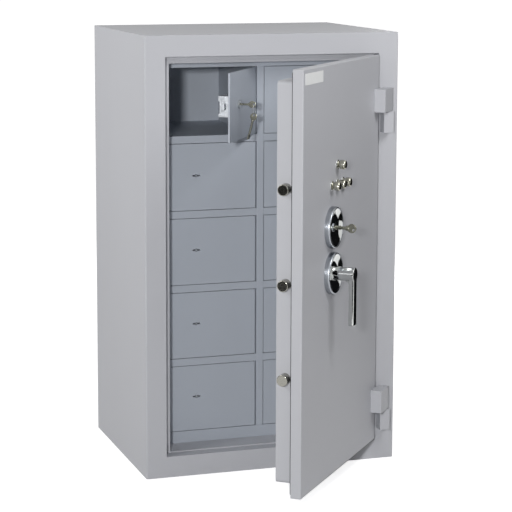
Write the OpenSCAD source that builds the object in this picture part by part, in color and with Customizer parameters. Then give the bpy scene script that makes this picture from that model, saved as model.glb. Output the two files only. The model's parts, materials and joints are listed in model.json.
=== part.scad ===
// Safe deposit box cabinet: a walled steel cabinet with ten lockers behind one
// heavy door. Origin at the middle of the base, +X right, +Y to the back, +Z up.
// The main door and the top left locker door stand open, as in normal use.

/* [Cabinet] */
// Outside width of the cabinet
cabinet_w = 720; // [716:1:750]
// Outside depth of the cabinet, without hinges or door
cabinet_d = 560; // [540:1:640]
// Outside height of the cabinet
cabinet_h = 1200; // [1190:1:1240]
// Sheet thickness of the outer casing
casing_t = 4; // [3:0.5:5]
// Radius of the casing's long edges
casing_edge_r = 4; // [2:0.5:6]
// Width of the front face beside the door recess
side_margin = 57; // [50:1:62]
// Height of the front face above the door recess
top_margin = 57; // [50:1:62]
// Height of the front face below the door recess
bottom_margin = 58; // [54:1:66]
// Depth of the recess that the door slab closes into
recess_depth = 38; // [36:0.5:44]
// Width of the step inside the recess, at the sides and top
step_w = 20; // [18:0.5:22]
// Height of the step inside the recess, at the bottom
sill_step = 3; // [2:0.5:6]
// Depth of the frame ring behind the step
frame_depth = 46; // [44:1:50]
// How far the frame ring reaches into the wall, outside the recess
frame_ring_w = 20; // [16:1:24]
// Sheet thickness of the inner liner
liner_t = 3; // [2:0.5:3]
// Thickness of the rear wall, from the liner's inside to the back
rear_wall = 58; // [40:1:70]
// Radius of a floor anchor hole
anchor_r = 7; // [5:0.5:8]
// Distance between floor anchor holes across the cabinet
anchor_dx = 360; // [300:5:400]
// Distance between floor anchor holes from front to back
anchor_dy = 240; // [200:5:280]

/* [Main door] */
// Angle that the main door stands open
door_angle = 50; // [30:1:60]
// Gap between the door slab and the recess, all round
door_gap = 3.5; // [3:0.1:4]
// How far the slab's face lies behind the cabinet's face
slab_inset = 2; // [1:0.5:4]
// Thickness of the door slab
slab_t = 28; // [24:0.5:29]
// Thickness of the slab's outer plate and its folded rim
plate_t = 4; // [3:0.5:5]
// Radius of the slab's four corners
slab_corner_r = 3; // [2:0.5:6]
// Depth of the bolt case on the back of the slab
case_depth = 49; // [46:0.5:52]
// Distance from the slab's side edges to the bolt case
case_inset_side = 24; // [23:0.5:26]
// Distance from the slab's top and bottom edges to the bolt case
case_inset_end = 30; // [28:0.5:34]
// Radius of the bolt case's corners
case_corner_r = 10; // [6:0.5:14]
// Sheet thickness of the bolt case
case_t = 3; // [2:0.5:4]
// Width of the door seal
seal_w = 10; // [8:0.5:12]
// Thickness of the door seal
seal_t = 6; // [4:0.5:6.5]
// Distance from the slab's edge to the seal
seal_inset = 6; // [4:0.5:8]

/* [Hinges] */
// Distance of the hinge pin in front of the cabinet's face
pin_forward = 15; // [15:0.1:16]
// Distance of the hinge pin from the side of the recess
pin_outward = 20; // [18:0.5:24]
// Radius of the hinge pins
pin_r = 7; // [5:0.5:8]
// Half width of the hinge blocks
block_half = 14.5; // [13:0.1:14.8]
// Height of the lower block of a hinge, which is on the cabinet
frame_block_h = 59; // [50:1:64]
// Height of the upper block of a hinge, which is on the door
door_block_h = 63; // [54:1:70]
// Length of the block on the door, from the pin to its far end
door_block_l = 63; // [55:1:75]
// Height of the gap between the two blocks of a hinge
block_gap = 1; // [0.5:0.1:2]
// Height above the base of the top of the upper hinge
upper_hinge_top = 1049; // [1000:1:1080]
// Height above the base of the top of the lower hinge
lower_hinge_top = 212; // [190:1:260]
// How far a hinge pin ends inside the blocks, at its top and its bottom
pin_recess = 11; // [5:0.5:14]

/* [Locking] */
// Radius of a locking bolt
bolt_r = 15; // [12:0.5:16]
// Travel of the locking bolts
bolt_throw = 24; // [22:0.5:26]
// Length of a locking bolt
bolt_l = 60; // [56:1:66]
// Height above the base of the middle bolt
middle_bolt_z = 602.5; // [585:0.5:610]
// Distance between neighbouring bolts
bolt_pitch = 240; // [225:1:270]
// Thickness of the bolt bar
bar_t = 8; // [6:0.5:10]
// Width of the bolt bar
bar_w = 40; // [36:1:41]
// Distance from the case's side to the bolt bar
bar_offset = 16; // [12:1:20]
// Thickness of the arms on the bolt bar
arm_t = 5; // [4:0.5:6]
// Height of the arms on the bolt bar
arm_h = 24; // [22:1:28]
// Room round the crank pin, which swings in a straight slot
crank_slack = 0.9; // [0.8:0.1:1.2]
// Radius of the crank pin
crank_pin_r = 4; // [3:0.5:5]

/* [Fittings on the door] */
// Height above the base of the handle
handle_z = 603; // [580:1:620]
// Distance of the handle from the door's middle, to the left
handle_x = 84; // [70:1:100]
// Radius of the handle's rosette
rosette_r = 55; // [50:0.5:58]
// Height of the rosette's rim above the slab
rosette_h = 15; // [12:0.5:18]
// Radius of the handle's hub
hub_r = 18; // [15:0.5:20]
// Distance from the slab to the end of the hub
hub_reach = 66; // [58:1:74]
// Length of the lever, from the hub's middle to its tip
lever_l = 133.5; // [110:0.5:150]
// Width of the lever
lever_w = 24; // [18:0.5:28]
// Thickness of the lever
lever_t = 14; // [10:0.5:18]
// Radius of the handle's shaft
spindle_r = 8; // [6:0.5:9]
// Height above the base of the key lock
lock_z = 722; // [710:1:735]
// Radius of the lock's dished ring
escutcheon_r = 54.5; // [50:0.5:58]
// Height of the ring's rim above the slab
escutcheon_h = 15; // [12:0.5:18]
// Radius of the main key's shank
key_shank_r = 4.5; // [3.5:0.5:5.5]
// Distance from the slab to the end of the main key's bow
key_reach = 67; // [58:1:74]
// Travel of the key lock's own bolt
lock_bolt_throw = 10; // [8:0.5:10]
// Height above the base of the lower row of knobs
knob_row_z = 829.5; // [815:0.5:840]
// Height of the single knob above that row
knob_rise = 50; // [44:1:56]
// Distance between the knobs in the row
knob_pitch = 43; // [36:1:46]
// Distance of the middle knob from the door's middle, to the left
knob_x = 43.5; // [30:0.5:50]
// Radius of a knob's rim
knob_r = 12; // [10:0.5:14]
// Distance from the slab to a knob's end
knob_reach = 24.5; // [20:0.5:28]
// Radius of a knob's shaft
knob_shaft_r = 3; // [2.5:0.5:4]
// Width of the plain label
label_w = 130; // [110:1:150]
// Height of the plain label
label_h = 28.5; // [22:0.5:36]
// Thickness of the plain label
label_t = 0.6; // [0.4:0.1:1]

/* [Lockers] */
// Depth of the lockers' front behind the cabinet's face
locker_setback = 114.5; // [112:0.5:120]
// Height of a locker's opening
opening_h = 186.5; // [180:0.5:188]
// Height of the rail between two lockers
rail_h = 20; // [18:0.5:21]
// Height of the plinth under the lowest lockers
plinth_h = 32; // [24:0.5:36]
// Width of the stile between the two columns
mid_stile_w = 20; // [18:0.5:24]
// Width of the stiles at the sides
side_stile_w = 10; // [8:0.5:12]
// Depth of rails and stiles
rail_depth = 12; // [11:0.5:14]
// Sheet thickness of the locker panels and shelves
panel_t = 2; // [1.5:0.5:2]
// Room left where two sheets meet that are spot-welded, in the lockers and the liner
panel_gap = 0.1; // [0.1:0.1:0.3]
// Room round the whole block of lockers
block_room = 1; // [0.5:0.1:1.5]
// Gap round a locker door
locker_gap = 1.5; // [1.2:0.1:2]
// Thickness of a locker door
locker_door_t = 5; // [4.5:0.5:6]
// Radius of the tube along a locker door's hinge edge
knuckle_r = 5; // [4.5:0.1:5.5]
// Radius of a locker's hinge pin
locker_pin_r = 2.5; // [2:0.1:3]
// How deep a locker's hinge pin goes into the door and the rail
locker_pin_grip = 9; // [6:0.5:10]
// Angle that the top left locker door stands open
locker_angle = 56; // [40:1:70]
// Distance from a locker door's free edge to its keyhole
keyhole_inset = 86; // [78:1:90]
// Width of a keyhole
keyhole_w = 21; // [18:0.5:22]
// Height of a keyhole's slot
keyhole_h = 4; // [3:0.5:5]
// Width of a locker's lock
lock_w = 102; // [98:1:110]
// Height of a locker's lock
lock_h = 55; // [50:1:66]
// Depth of a locker's lock
lock_d = 27; // [26:0.5:32]
// Travel of a locker lock's bolt
latch_throw = 9; // [7:0.5:9]

/* [Locker keys] */
// Radius of the turning nose in the top left lock
nose_r = 12; // [11.5:0.1:13]
// How far the nose stands out of the locker door
nose_reach = 5; // [3:0.5:8]
// Radius of a locker key's shank
small_shank_r = 3; // [2.5:0.1:3.5]
// Distance from the locker door to the end of the key in it
small_key_reach = 47; // [44:0.5:48]
// How far that key can be pushed further in
key_push = 20; // [18:0.5:20]
// Radius of a locker key's bow
small_bow_r = 10; // [9:0.5:11]
// Thickness of a locker key
small_key_t = 3; // [2.5:0.1:3.2]
// Radius of the key ring, to the middle of its wire
ring_r = 12.5; // [10:0.5:14]
// Radius of the key ring's wire
ring_wire_r = 1; // [0.8:0.1:1.2]
// Length of the spare key, from the middle of its bow
spare_key_l = 62; // [50:1:70]
// Angle that the spare key hangs off plumb, with its tip towards the door
spare_lean = 14; // [0:1:18]

/* [Fits] */
// Radial running clearance of pins and shafts in their bores
fit = 0.05; // [0.03:0.01:0.1]
// Clearance between flat faces that slide or face each other
flat_gap = 0.3; // [0.3:0.05:0.5]

/* [Hidden] */
$fn = 64;

// Length added to a cutting shape so that it passes clean through a face
cut = 1;
// How far one shape reaches into another that it becomes one piece with
overlap = 1;
rows = 5;
columns = 2;

// Cabinet
front_y = -cabinet_d / 2;
recess_half_w = cabinet_w / 2 - side_margin;
recess_bottom = bottom_margin;
recess_top = cabinet_h - top_margin;
step_y = front_y + recess_depth;
inner_half_w = recess_half_w - step_w;
inner_bottom = recess_bottom + sill_step;
inner_top = recess_top - step_w;
frame_back_y = step_y + frame_depth;
liner_back_y = cabinet_d / 2 - rear_wall;

// Main door, in its closed place
pin_x = recess_half_w + pin_outward;
pin_y = front_y - pin_forward;
slab_half_w = recess_half_w - door_gap;
slab_bottom = recess_bottom + door_gap;
slab_top = recess_top - door_gap;
slab_y = front_y + slab_inset;
slab_back_y = slab_y + slab_t;
case_half_w = slab_half_w - case_inset_side;
case_bottom = slab_bottom + case_inset_end;
case_top = slab_top - case_inset_end;
case_back_y = slab_back_y + case_depth;
bolt_zs = [for (i = [-1:1]) middle_bolt_z + i * bolt_pitch];
bolt_y = slab_back_y + case_depth / 2;
bolt_tip_x = -case_half_w - bolt_throw;
bolt_chamfer = 1.5;
// The sockets in the frame are wider than the bolts, and a little deeper
socket_r = bolt_r + 1.5;
socket_spare = 4;
bar_x = -case_half_w + bar_offset;
bar_y = slab_back_y + (case_depth - case_t - bar_w) / 2;
// Bar left round the ends of the bolt bar, past the middle of the outer bolts
bar_end = 35;
// Metal left round the slot in an arm of the bolt bar
arm_rim = 8;
// The crank stands as far before the upright as after it, so it turns a quarter
crank_angle = 45;
crank_r = bolt_throw / (2 * sin(crank_angle));
crank_y = slab_back_y + 2;
crank_t = 5;
crank_half_w = crank_pin_r + 3;
crank_boss_r = spindle_r + 4;
arm_y = crank_y + crank_t + flat_gap;
// Distance from the hub's end to the start of its bore for the shaft
handle_bore_start = 20;
// Gap between the hub and the slab
hub_lift = 1;

// Main lock
lock_case_w = 90;
lock_case_h = 60;
lock_case_d = 26;
lock_arm_bottom = lock_z + lock_case_h / 2 + 2;
lock_bolt_w = 14;
// The lock's bolt starts clear of the key
lock_bolt_z = lock_z + key_shank_r + 4.5;
lock_bolt_y0 = arm_y - 1;
lock_bolt_y1 = arm_y + arm_t + 1;
lock_arm_end = -handle_x + lock_bolt_w / 2 + 17;
notch_gap = 1;
// Wall behind the key in its lock
key_wall = 3;
key_hole_r = key_shank_r + 6;
bow_r = 12;
bow_t = 4;
bow_hole_r = 4;
collar_w = 5;

// Combination lock
knob_places = [[0, knob_rise], [-knob_pitch, 0], [0, 0], [knob_pitch, 0]];
flange_t = 3;
dial_case_margin = 20;
dial_case_d = 34;
dial_shaft_in = 22;

// Label
label_from_side = 12;
label_from_top = 10.5;
label_corner_r = 2;

// Screws of the bolt case, in two columns of four
screw_r = 3;
screw_head_r = 5.7;
screw_head_h = 3;
screw_grip = 12;
screw_from_bolts = 60;
screw_from_hinges = 30;
screw_from_ends = 70;
screws_per_column = 4;
screw_xs = [-case_half_w + screw_from_bolts, case_half_w - screw_from_hinges];
screw_step = (case_top - case_bottom - 2 * screw_from_ends) / (screws_per_column - 1);
screw_zs = [for (i = [0:screws_per_column - 1]) case_bottom + screw_from_ends + i * screw_step];

// Lockers, in their closed place
locker_y = front_y + locker_setback;
block_half_w = inner_half_w - block_room;
block_top = inner_top - block_room;
block_back_y = liner_back_y - block_room;
rail_back_y = locker_y + rail_depth;
opening_w = block_half_w - side_stile_w - mid_stile_w / 2;
row_pitch = opening_h + rail_h;
first_opening_z = inner_bottom + plinth_h;
locker_door_w = opening_w - 2 * locker_gap;
locker_door_h = opening_h - 2 * locker_gap;
column_shift = opening_w + mid_stile_w;
knuckle_x = -mid_stile_w / 2 - locker_gap - knuckle_r;
knuckle_y = locker_y + knuckle_r;
free_edge_x = -block_half_w + side_stile_w + locker_gap;
lock_edge = 2;
lock_corner_r = 3;
lock_x = free_edge_x + lock_edge;
lock_y = locker_y + locker_door_t;
keyhole_x = free_edge_x + keyhole_inset;
latch_h = 25;
latch_t = 8;
latch_l = 34;
latch_y = rail_back_y + 4;
// How far the keyhole goes into the lock of a closed locker
keyway_d = lock_d - 6;
// Where the keyhole lies on a door's height, as a share from its bottom
keyhole_share = 0.52;
// End play of a locker's hinge pin
pin_play = 1;
nose_depth = 20;
ring_hole_r = 3;
// Room between the ring's wire and a key that hangs on it, which lets the ring swing
ring_gap = 0.6;
bit_l = 14;
bit_w = keyhole_w - 1;
bow_rim = 2;
// How far the tip of the key in the lock reaches past the face of the locker door
key_tip = 2;

// Hinges of the main door
hinge_tops = [upper_hinge_top, lower_hinge_top];
hinge_h = door_block_h + block_gap + frame_block_h;

// Height of the opening's lower edge, with row 0 at the top
function opening_z(row) = first_opening_z + (rows - 1 - row) * row_pitch;
function keyhole_z(row) = opening_z(row) + locker_gap + keyhole_share * locker_door_h;

STEEL_PAINT = "#b9bcc2";
DOOR_PAINT = "#a4a5a9";
LOCKER_PAINT = "#9095a0";
ZINC = "#c9ccd0";
CHROME = "#d8dadd";

// ---------- shared shapes ----------

// A block given by its lowest and highest corners
module span(low, high) {
    translate(low) cube(high - low);
}

// A plate in the XZ plane with rounded corners, from y0 to y1
module rounded_plate(x0, x1, z0, z1, y0, y1, r) {
    translate([0, y1, 0]) rotate([90, 0, 0]) linear_extrude(y1 - y0) rounded_outline(x0, x1, z0, z1, r);
}

// A rectangle with true quarter-circle corners
module rounded_outline(x0, x1, z0, z1, r) {
    translate([x0 + r, z0]) square([x1 - x0 - 2 * r, z1 - z0]);
    translate([x0, z0 + r]) square([x1 - x0, z1 - z0 - 2 * r]);
    for (x = [x0 + r, x1 - r], z = [z0 + r, z1 - r]) translate([x, z]) circle(r);
}

// A cylinder along +Y from y0 to y1
module rod_y(x, z, y0, y1, r) {
    translate([x, y0, z]) rotate([-90, 0, 0]) cylinder(h = y1 - y0, r = r);
}

// A cylinder along +X from x0 to x1
module rod_x(y, z, x0, x1, r) {
    translate([x0, y, z]) rotate([0, 90, 0]) cylinder(h = x1 - x0, r = r);
}

// Something turned on a lathe, with its axis along -Y and its foot on the plane y
module turned_y(x, z, y) {
    translate([x, y, z]) rotate([90, 0, 0]) rotate_extrude() children();
}

// Puts what is modelled on the closed main door where the open door is
module on_main_door() {
    translate([pin_x, pin_y, 0]) rotate([0, 0, door_angle]) translate([-pin_x, -pin_y, 0]) children();
}

// Puts what is modelled on the closed top left locker door where it stands open
module on_locker_1() {
    translate([knuckle_x, knuckle_y, 0]) rotate([0, 0, locker_angle])
        translate([-knuckle_x, -knuckle_y, 0]) children();
}

module anchor_holes(z0, z1) {
    for (x = [-1, 1], y = [-1, 1])
        translate([x * anchor_dx / 2, y * anchor_dy / 2, z0]) cylinder(h = z1 - z0, r = anchor_r);
}

// ---------- cabinet ----------

// All that lies inside the sheets of the outer casing
module wall_inside() {
    inside = cabinet_w / 2 - casing_t;
    span([-inside, front_y + casing_t, casing_t], [inside, -front_y - casing_t, cabinet_h - casing_t]);
}

// The outside of the door frame ring
module ring_outline() {
    ring = recess_half_w + frame_ring_w;
    span([-ring, step_y, recess_bottom - frame_ring_w], [ring, frame_back_y, recess_top + frame_ring_w]);
}

module outer_casing() {
    half = cabinet_w / 2;
    color(STEEL_PAINT) difference() {
        linear_extrude(cabinet_h) rounded_outline(-half, half, front_y, -front_y, casing_edge_r);
        difference() {
            wall_inside();
            span([-recess_half_w - casing_t, front_y, recess_bottom - casing_t],
                [recess_half_w + casing_t, step_y, recess_top + casing_t]);
        }
        span([-recess_half_w, front_y - cut, recess_bottom], [recess_half_w, step_y + cut, recess_top]);
        anchor_holes(-cut, casing_t + cut);
    }
}

module barrier_fill() {
    color("#8f8d88") difference() {
        wall_inside();
        span([-recess_half_w - casing_t, front_y, recess_bottom - casing_t],
            [recess_half_w + casing_t, step_y, recess_top + casing_t]);
        ring_outline();
        span([-inner_half_w - liner_t, frame_back_y - cut, inner_bottom - liner_t],
            [inner_half_w + liner_t, liner_back_y + liner_t, inner_top + liner_t]);
        anchor_holes(0, inner_bottom);
    }
}

// Five sheets round the lockers
module inner_liner() {
    half = inner_half_w + liner_t;
    z0 = inner_bottom - liner_t;
    z1 = inner_top + liner_t;
    y1 = liner_back_y - panel_gap;
    color(STEEL_PAINT) {
        for (x = [-half, inner_half_w])
            span([x, frame_back_y, inner_bottom + panel_gap], [x + liner_t, y1, inner_top - panel_gap]);
        span([-half, liner_back_y, z0], [half, liner_back_y + liner_t, z1]);
        span([-half, frame_back_y, inner_top], [half, y1, z1]);
        difference() {
            span([-half, frame_back_y, z0], [half, y1, inner_bottom]);
            anchor_holes(z0 - cut, inner_bottom + cut);
        }
    }
}

module door_frame() {
    color(STEEL_PAINT) difference() {
        ring_outline();
        span([-inner_half_w, step_y - cut, inner_bottom], [inner_half_w, frame_back_y + cut, inner_top]);
        for (z = bolt_zs) rod_x(bolt_y, z, bolt_tip_x - socket_spare, -inner_half_w + cut, socket_r);
    }
}

// ---------- hinges ----------

module frame_hinge_blocks() {
    color(STEEL_PAINT) for (top = hinge_tops) difference() {
        span([pin_x - block_half, pin_y - block_half, top - hinge_h],
            [pin_x + block_half, front_y, top - hinge_h + frame_block_h]);
        translate([pin_x, pin_y, top - hinge_h + pin_recess]) cylinder(h = frame_block_h, r = pin_r + fit);
    }
}

module door_hinge_blocks() {
    color(STEEL_PAINT) on_main_door() for (top = hinge_tops) difference() {
        union() {
            span([pin_x - door_block_l, pin_y - block_half, top - door_block_h],
                [slab_half_w, slab_y, top]);
            span([pin_x - door_block_l, pin_y - block_half, top - door_block_h],
                [pin_x, pin_y + block_half, top]);
            translate([pin_x, pin_y, top - door_block_h]) cylinder(h = door_block_h, r = block_half);
        }
        translate([pin_x, pin_y, top - door_block_h - cut])
            cylinder(h = door_block_h + 2 * cut, r = pin_r + fit);
    }
}

module hinge_pins() {
    color(CHROME) for (top = hinge_tops) translate([pin_x, pin_y, top - hinge_h + pin_recess])
        cylinder(h = hinge_h - 2 * pin_recess, r = pin_r);
}

// ---------- lockers ----------

module locker_panels() {
    z0 = inner_bottom + panel_t + panel_gap;
    z1 = block_top - panel_t - panel_gap;
    y1 = block_back_y - panel_t - panel_gap;
    color(LOCKER_PAINT) {
        for (x = [-block_half_w, -panel_t / 2, block_half_w - panel_t])
            span([x, rail_back_y, z0], [x + panel_t, y1, z1]);
        span([-block_half_w, block_back_y - panel_t, inner_bottom], [block_half_w, block_back_y, block_top]);
        span([-block_half_w, rail_back_y, block_top - panel_t], [block_half_w, y1, block_top]);
        difference() {
            span([-block_half_w, rail_back_y, inner_bottom], [block_half_w, y1, inner_bottom + panel_t]);
            anchor_holes(inner_bottom - cut, inner_bottom + panel_t + cut);
        }
    }
}

module locker_shelves() {
    shelf_w = block_half_w - panel_t - panel_t / 2;
    color(LOCKER_PAINT) for (side = [0, 1], row = [0:rows - 1]) {
        x = side == 0 ? -block_half_w + panel_t : panel_t / 2;
        z = opening_z(row);
        difference() {
            span([x, rail_back_y, z - panel_t], [x + shelf_w, block_back_y - panel_t, z]);
            if (row == rows - 1) anchor_holes(z - panel_t - cut, z + cut);
        }
    }
}

// The bores that hold the hinge pins of every locker door
module pin_bores() {
    for (side = [0:columns - 1], row = [0:rows - 1], end = [0, 1])
        translate([knuckle_x + side * column_shift, knuckle_y,
            opening_z(row) + end * opening_h - (1 - end) * locker_pin_grip - end * cut])
            cylinder(h = locker_pin_grip + cut, r = locker_pin_r + fit);
}

module locker_rails() {
    color(LOCKER_PAINT) difference() {
        union() {
            span([-block_half_w, locker_y, inner_bottom], [block_half_w, rail_back_y, first_opening_z]);
            span([-block_half_w, locker_y, opening_z(0) + opening_h], [block_half_w, rail_back_y, block_top]);
            for (side = [0:columns - 1], row = [0:rows - 2]) {
                x = -mid_stile_w / 2 - opening_w + side * column_shift;
                z = opening_z(row) - rail_h;
                span([x, locker_y, z], [x + opening_w, rail_back_y, z + rail_h]);
            }
        }
        pin_bores();
    }
}

module locker_stiles() {
    z0 = first_opening_z;
    z1 = opening_z(0) + opening_h;
    color(LOCKER_PAINT) {
        span([-block_half_w, locker_y, z0], [-block_half_w + side_stile_w, rail_back_y, z1]);
        span([-mid_stile_w / 2, locker_y, z0], [mid_stile_w / 2, rail_back_y, z1]);
        span([block_half_w - side_stile_w, locker_y, z0], [block_half_w, rail_back_y, z1]);
    }
}

// The two hinge pins of one locker door
module door_pins(side, row) {
    pin_l = 2 * locker_pin_grip + locker_gap - pin_play;
    color(CHROME) translate([knuckle_x + side * column_shift, knuckle_y, 0]) {
        translate([0, 0, opening_z(row) - locker_pin_grip]) cylinder(h = pin_l, r = locker_pin_r);
        translate([0, 0, opening_z(row) + opening_h + locker_pin_grip - pin_l])
            cylinder(h = pin_l, r = locker_pin_r);
    }
}

module locker_hinge_pins() {
    for (side = [0:columns - 1], row = [0:rows - 1])
        if (side > 0 || row > 0) door_pins(side, row);
}

module locker_1_hinge_pins() {
    door_pins(0, 0);
}

// A keyhole for a two-sided key: a round middle with a slot to each side
module keyhole(x, z, y0, y1) {
    rod_y(x, z, y0, y1, keyhole_h);
    span([x - keyhole_w / 2, y0, z - keyhole_h / 2], [x + keyhole_w / 2, y1, z + keyhole_h / 2]);
}

// One locker door in its closed place. It is a plate with a tube along its hinge edge
module locker_door(side, row) {
    x = side * column_shift;
    z0 = opening_z(row) + locker_gap;
    z1 = z0 + locker_door_h;
    color(LOCKER_PAINT) difference() {
        union() {
            span([free_edge_x + x, locker_y, z0], [knuckle_x + x, locker_y + locker_door_t, z1]);
            translate([knuckle_x + x, knuckle_y, z0]) cylinder(h = locker_door_h, r = knuckle_r);
        }
        for (z = [z0 - cut, z1 - locker_pin_grip]) translate([knuckle_x + x, knuckle_y, z])
            cylinder(h = locker_pin_grip + cut, r = locker_pin_r + fit);
        if (side == 0 && row == 0)
            rod_y(keyhole_x, keyhole_z(row), locker_y - cut, locker_y + locker_door_t + cut, nose_r + fit);
        else
            keyhole(keyhole_x + x, keyhole_z(row), locker_y - cut, locker_y + locker_door_t + cut);
    }
}

// The slot in a lock's side for its bolt
module latch_slot(x, row) {
    z = keyhole_z(row);
    span([x + lock_x - cut, latch_y - flat_gap, z - latch_h / 2 - flat_gap],
        [x + lock_x + latch_l + latch_throw, latch_y + latch_t + flat_gap, z + latch_h / 2 + flat_gap]);
}

// The bolt of a locker's lock, drawn back
module latch(x, row) {
    z = keyhole_z(row);
    color(ZINC) span([x + lock_x, latch_y, z - latch_h / 2],
        [x + lock_x + latch_l, latch_y + latch_t, z + latch_h / 2]);
}

// The case of a locker's lock
module lock_body(x, row) {
    z = keyhole_z(row);
    rounded_plate(x + lock_x, x + lock_x + lock_w, z - lock_h / 2, z + lock_h / 2,
        lock_y, lock_y + lock_d, lock_corner_r);
}

// A lock with no key in it: its case and its drawn-back bolt
module locker_lock(side, row) {
    x = side * column_shift;
    color(ZINC) difference() {
        lock_body(x, row);
        latch_slot(x, row);
        keyhole(x + keyhole_x, keyhole_z(row), lock_y - cut, lock_y + keyway_d);
    }
    latch(x, row);
}

// ---------- top left locker, open, with its keys ----------

module locker_door_left_1() {
    on_locker_1() locker_door(0, 0);
}

module locker_lock_left_1() {
    color(ZINC) on_locker_1() difference() {
        lock_body(0, 0);
        latch_slot(0, 0);
        rod_y(keyhole_x, keyhole_z(0), lock_y - cut, lock_y + nose_depth + flat_gap, nose_r + fit);
        rod_y(keyhole_x, keyhole_z(0), lock_y, lock_y + lock_d + cut, bit_w / 2 + 1);
    }
}

module locker_latch_left_1() {
    on_locker_1() latch(0, 0);
}

module locker_key_nose() {
    z = keyhole_z(0);
    color(CHROME) on_locker_1() difference() {
        rod_y(keyhole_x, z, locker_y - nose_reach, lock_y + nose_depth, nose_r);
        rod_y(keyhole_x, z, locker_y - nose_reach - cut, lock_y + nose_depth + cut, small_shank_r + fit);
        span([keyhole_x - bit_w / 2 - flat_gap, locker_y - nose_reach - cut, z - small_key_t / 2 - flat_gap],
            [keyhole_x + bit_w / 2 + flat_gap, lock_y + nose_depth + cut, z + small_key_t / 2 + flat_gap]);
    }
}

// A two-sided key. Its bow is centred on the origin, with the shank along +Y
module small_key(shank_l) {
    difference() {
        union() {
            rotate([0, 90, 0]) translate([0, 0, -small_key_t / 2]) cylinder(h = small_key_t, r = small_bow_r);
            translate([0, small_bow_r - overlap, 0]) rotate([-90, 0, 0])
                cylinder(h = shank_l - small_bow_r + overlap, r = small_shank_r);
            span([-bit_w / 2, shank_l - bit_l, -small_key_t / 2], [bit_w / 2, shank_l, small_key_t / 2]);
        }
        translate([-small_key_t, -small_bow_r + bow_rim + ring_hole_r, 0]) rotate([0, 90, 0])
            cylinder(h = 2 * small_key_t, r = ring_hole_r);
    }
}

bow_y = locker_y - small_key_reach + small_bow_r;
ring_hole_y = bow_y - small_bow_r + bow_rim + ring_hole_r;
// The ring hangs in the key's hole, and the spare key hangs in the ring
ring_z = keyhole_z(0) - ring_hole_r + ring_wire_r + ring_gap - ring_r;
spare_hole_drop = ring_hole_r - ring_wire_r - ring_gap;
spare_bow_drop = spare_hole_drop + small_bow_r - bow_rim - ring_hole_r;

module locker_key() {
    color(CHROME) on_locker_1() translate([keyhole_x, bow_y, keyhole_z(0)])
        small_key(small_key_reach - small_bow_r + key_tip);
}

module key_ring() {
    color(CHROME) on_locker_1() translate([keyhole_x, ring_hole_y, ring_z]) rotate([90, 0, 0])
        rotate_extrude() translate([ring_r, 0]) circle(ring_wire_r, $fn = 24);
}

module spare_key() {
    color(CHROME) on_locker_1() translate([keyhole_x, ring_hole_y, ring_z - ring_r])
        rotate([spare_lean, 0, 0]) translate([0, 0, -spare_bow_drop]) rotate([-90, 0, 0])
            small_key(spare_key_l);
}

// ---------- main door ----------

// The holes that shafts and the key need through the slab
module slab_holes(y0, y1) {
    rod_y(-handle_x, handle_z, y0, y1, spindle_r + fit);
    rod_y(-handle_x, lock_z, y0, y1, key_hole_r);
    for (p = knob_places) rod_y(-knob_x + p[0], knob_row_z + p[1], y0, y1, knob_shaft_r + fit);
}

module door_plate() {
    color(DOOR_PAINT) on_main_door() difference() {
        rounded_plate(-slab_half_w, slab_half_w, slab_bottom, slab_top, slab_y, slab_back_y, slab_corner_r);
        span([-slab_half_w + plate_t, slab_y + plate_t, slab_bottom + plate_t],
            [slab_half_w - plate_t, slab_back_y + cut, slab_top - plate_t]);
        slab_holes(slab_y - cut, slab_back_y + cut);
    }
}

module door_barrier() {
    color("#7d7f83") on_main_door() difference() {
        span([-slab_half_w + plate_t, slab_y + plate_t, slab_bottom + plate_t],
            [slab_half_w - plate_t, slab_back_y, slab_top - plate_t]);
        slab_holes(slab_y, slab_back_y + cut);
        for (x = screw_xs, z = screw_zs)
            rod_y(x, z, slab_back_y - screw_grip - cut, slab_back_y + cut, screw_r + fit);
    }
}

module bolt_case() {
    color(DOOR_PAINT) on_main_door() difference() {
        rounded_plate(-case_half_w, case_half_w, case_bottom, case_top,
            slab_back_y, case_back_y, case_corner_r);
        rounded_plate(-case_half_w + case_t, case_half_w - case_t, case_bottom + case_t, case_top - case_t,
            slab_back_y - cut, case_back_y - case_t, case_corner_r - case_t);
        for (z = bolt_zs) rod_x(bolt_y, z, -case_half_w - cut, -case_half_w + case_t + cut, bolt_r + fit);
        for (x = screw_xs, z = screw_zs)
            rod_y(x, z, case_back_y - case_t - cut, case_back_y + cut, screw_r + fit);
    }
}

module case_screws() {
    color(ZINC) on_main_door() for (x = screw_xs, z = screw_zs) {
        rod_y(x, z, slab_back_y - screw_grip, case_back_y, screw_r);
        rod_y(x, z, case_back_y, case_back_y + screw_head_h, screw_head_r);
    }
}

module door_seal() {
    x1 = slab_half_w - seal_inset;
    z0 = slab_bottom + seal_inset;
    z1 = slab_top - seal_inset;
    color("#55585c") on_main_door() difference() {
        span([-x1, slab_back_y, z0], [x1, slab_back_y + seal_t, z1]);
        span([-x1 + seal_w, slab_back_y - cut, z0 + seal_w],
            [x1 - seal_w, slab_back_y + seal_t + cut, z1 - seal_w]);
    }
}

module label_plate() {
    x0 = -slab_half_w + label_from_side;
    z1 = slab_top - label_from_top;
    color("white") on_main_door()
        rounded_plate(x0, x0 + label_w, z1 - label_h, z1, slab_y - label_t, slab_y, label_corner_r);
}

dish_floor_h = 5.5;

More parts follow.
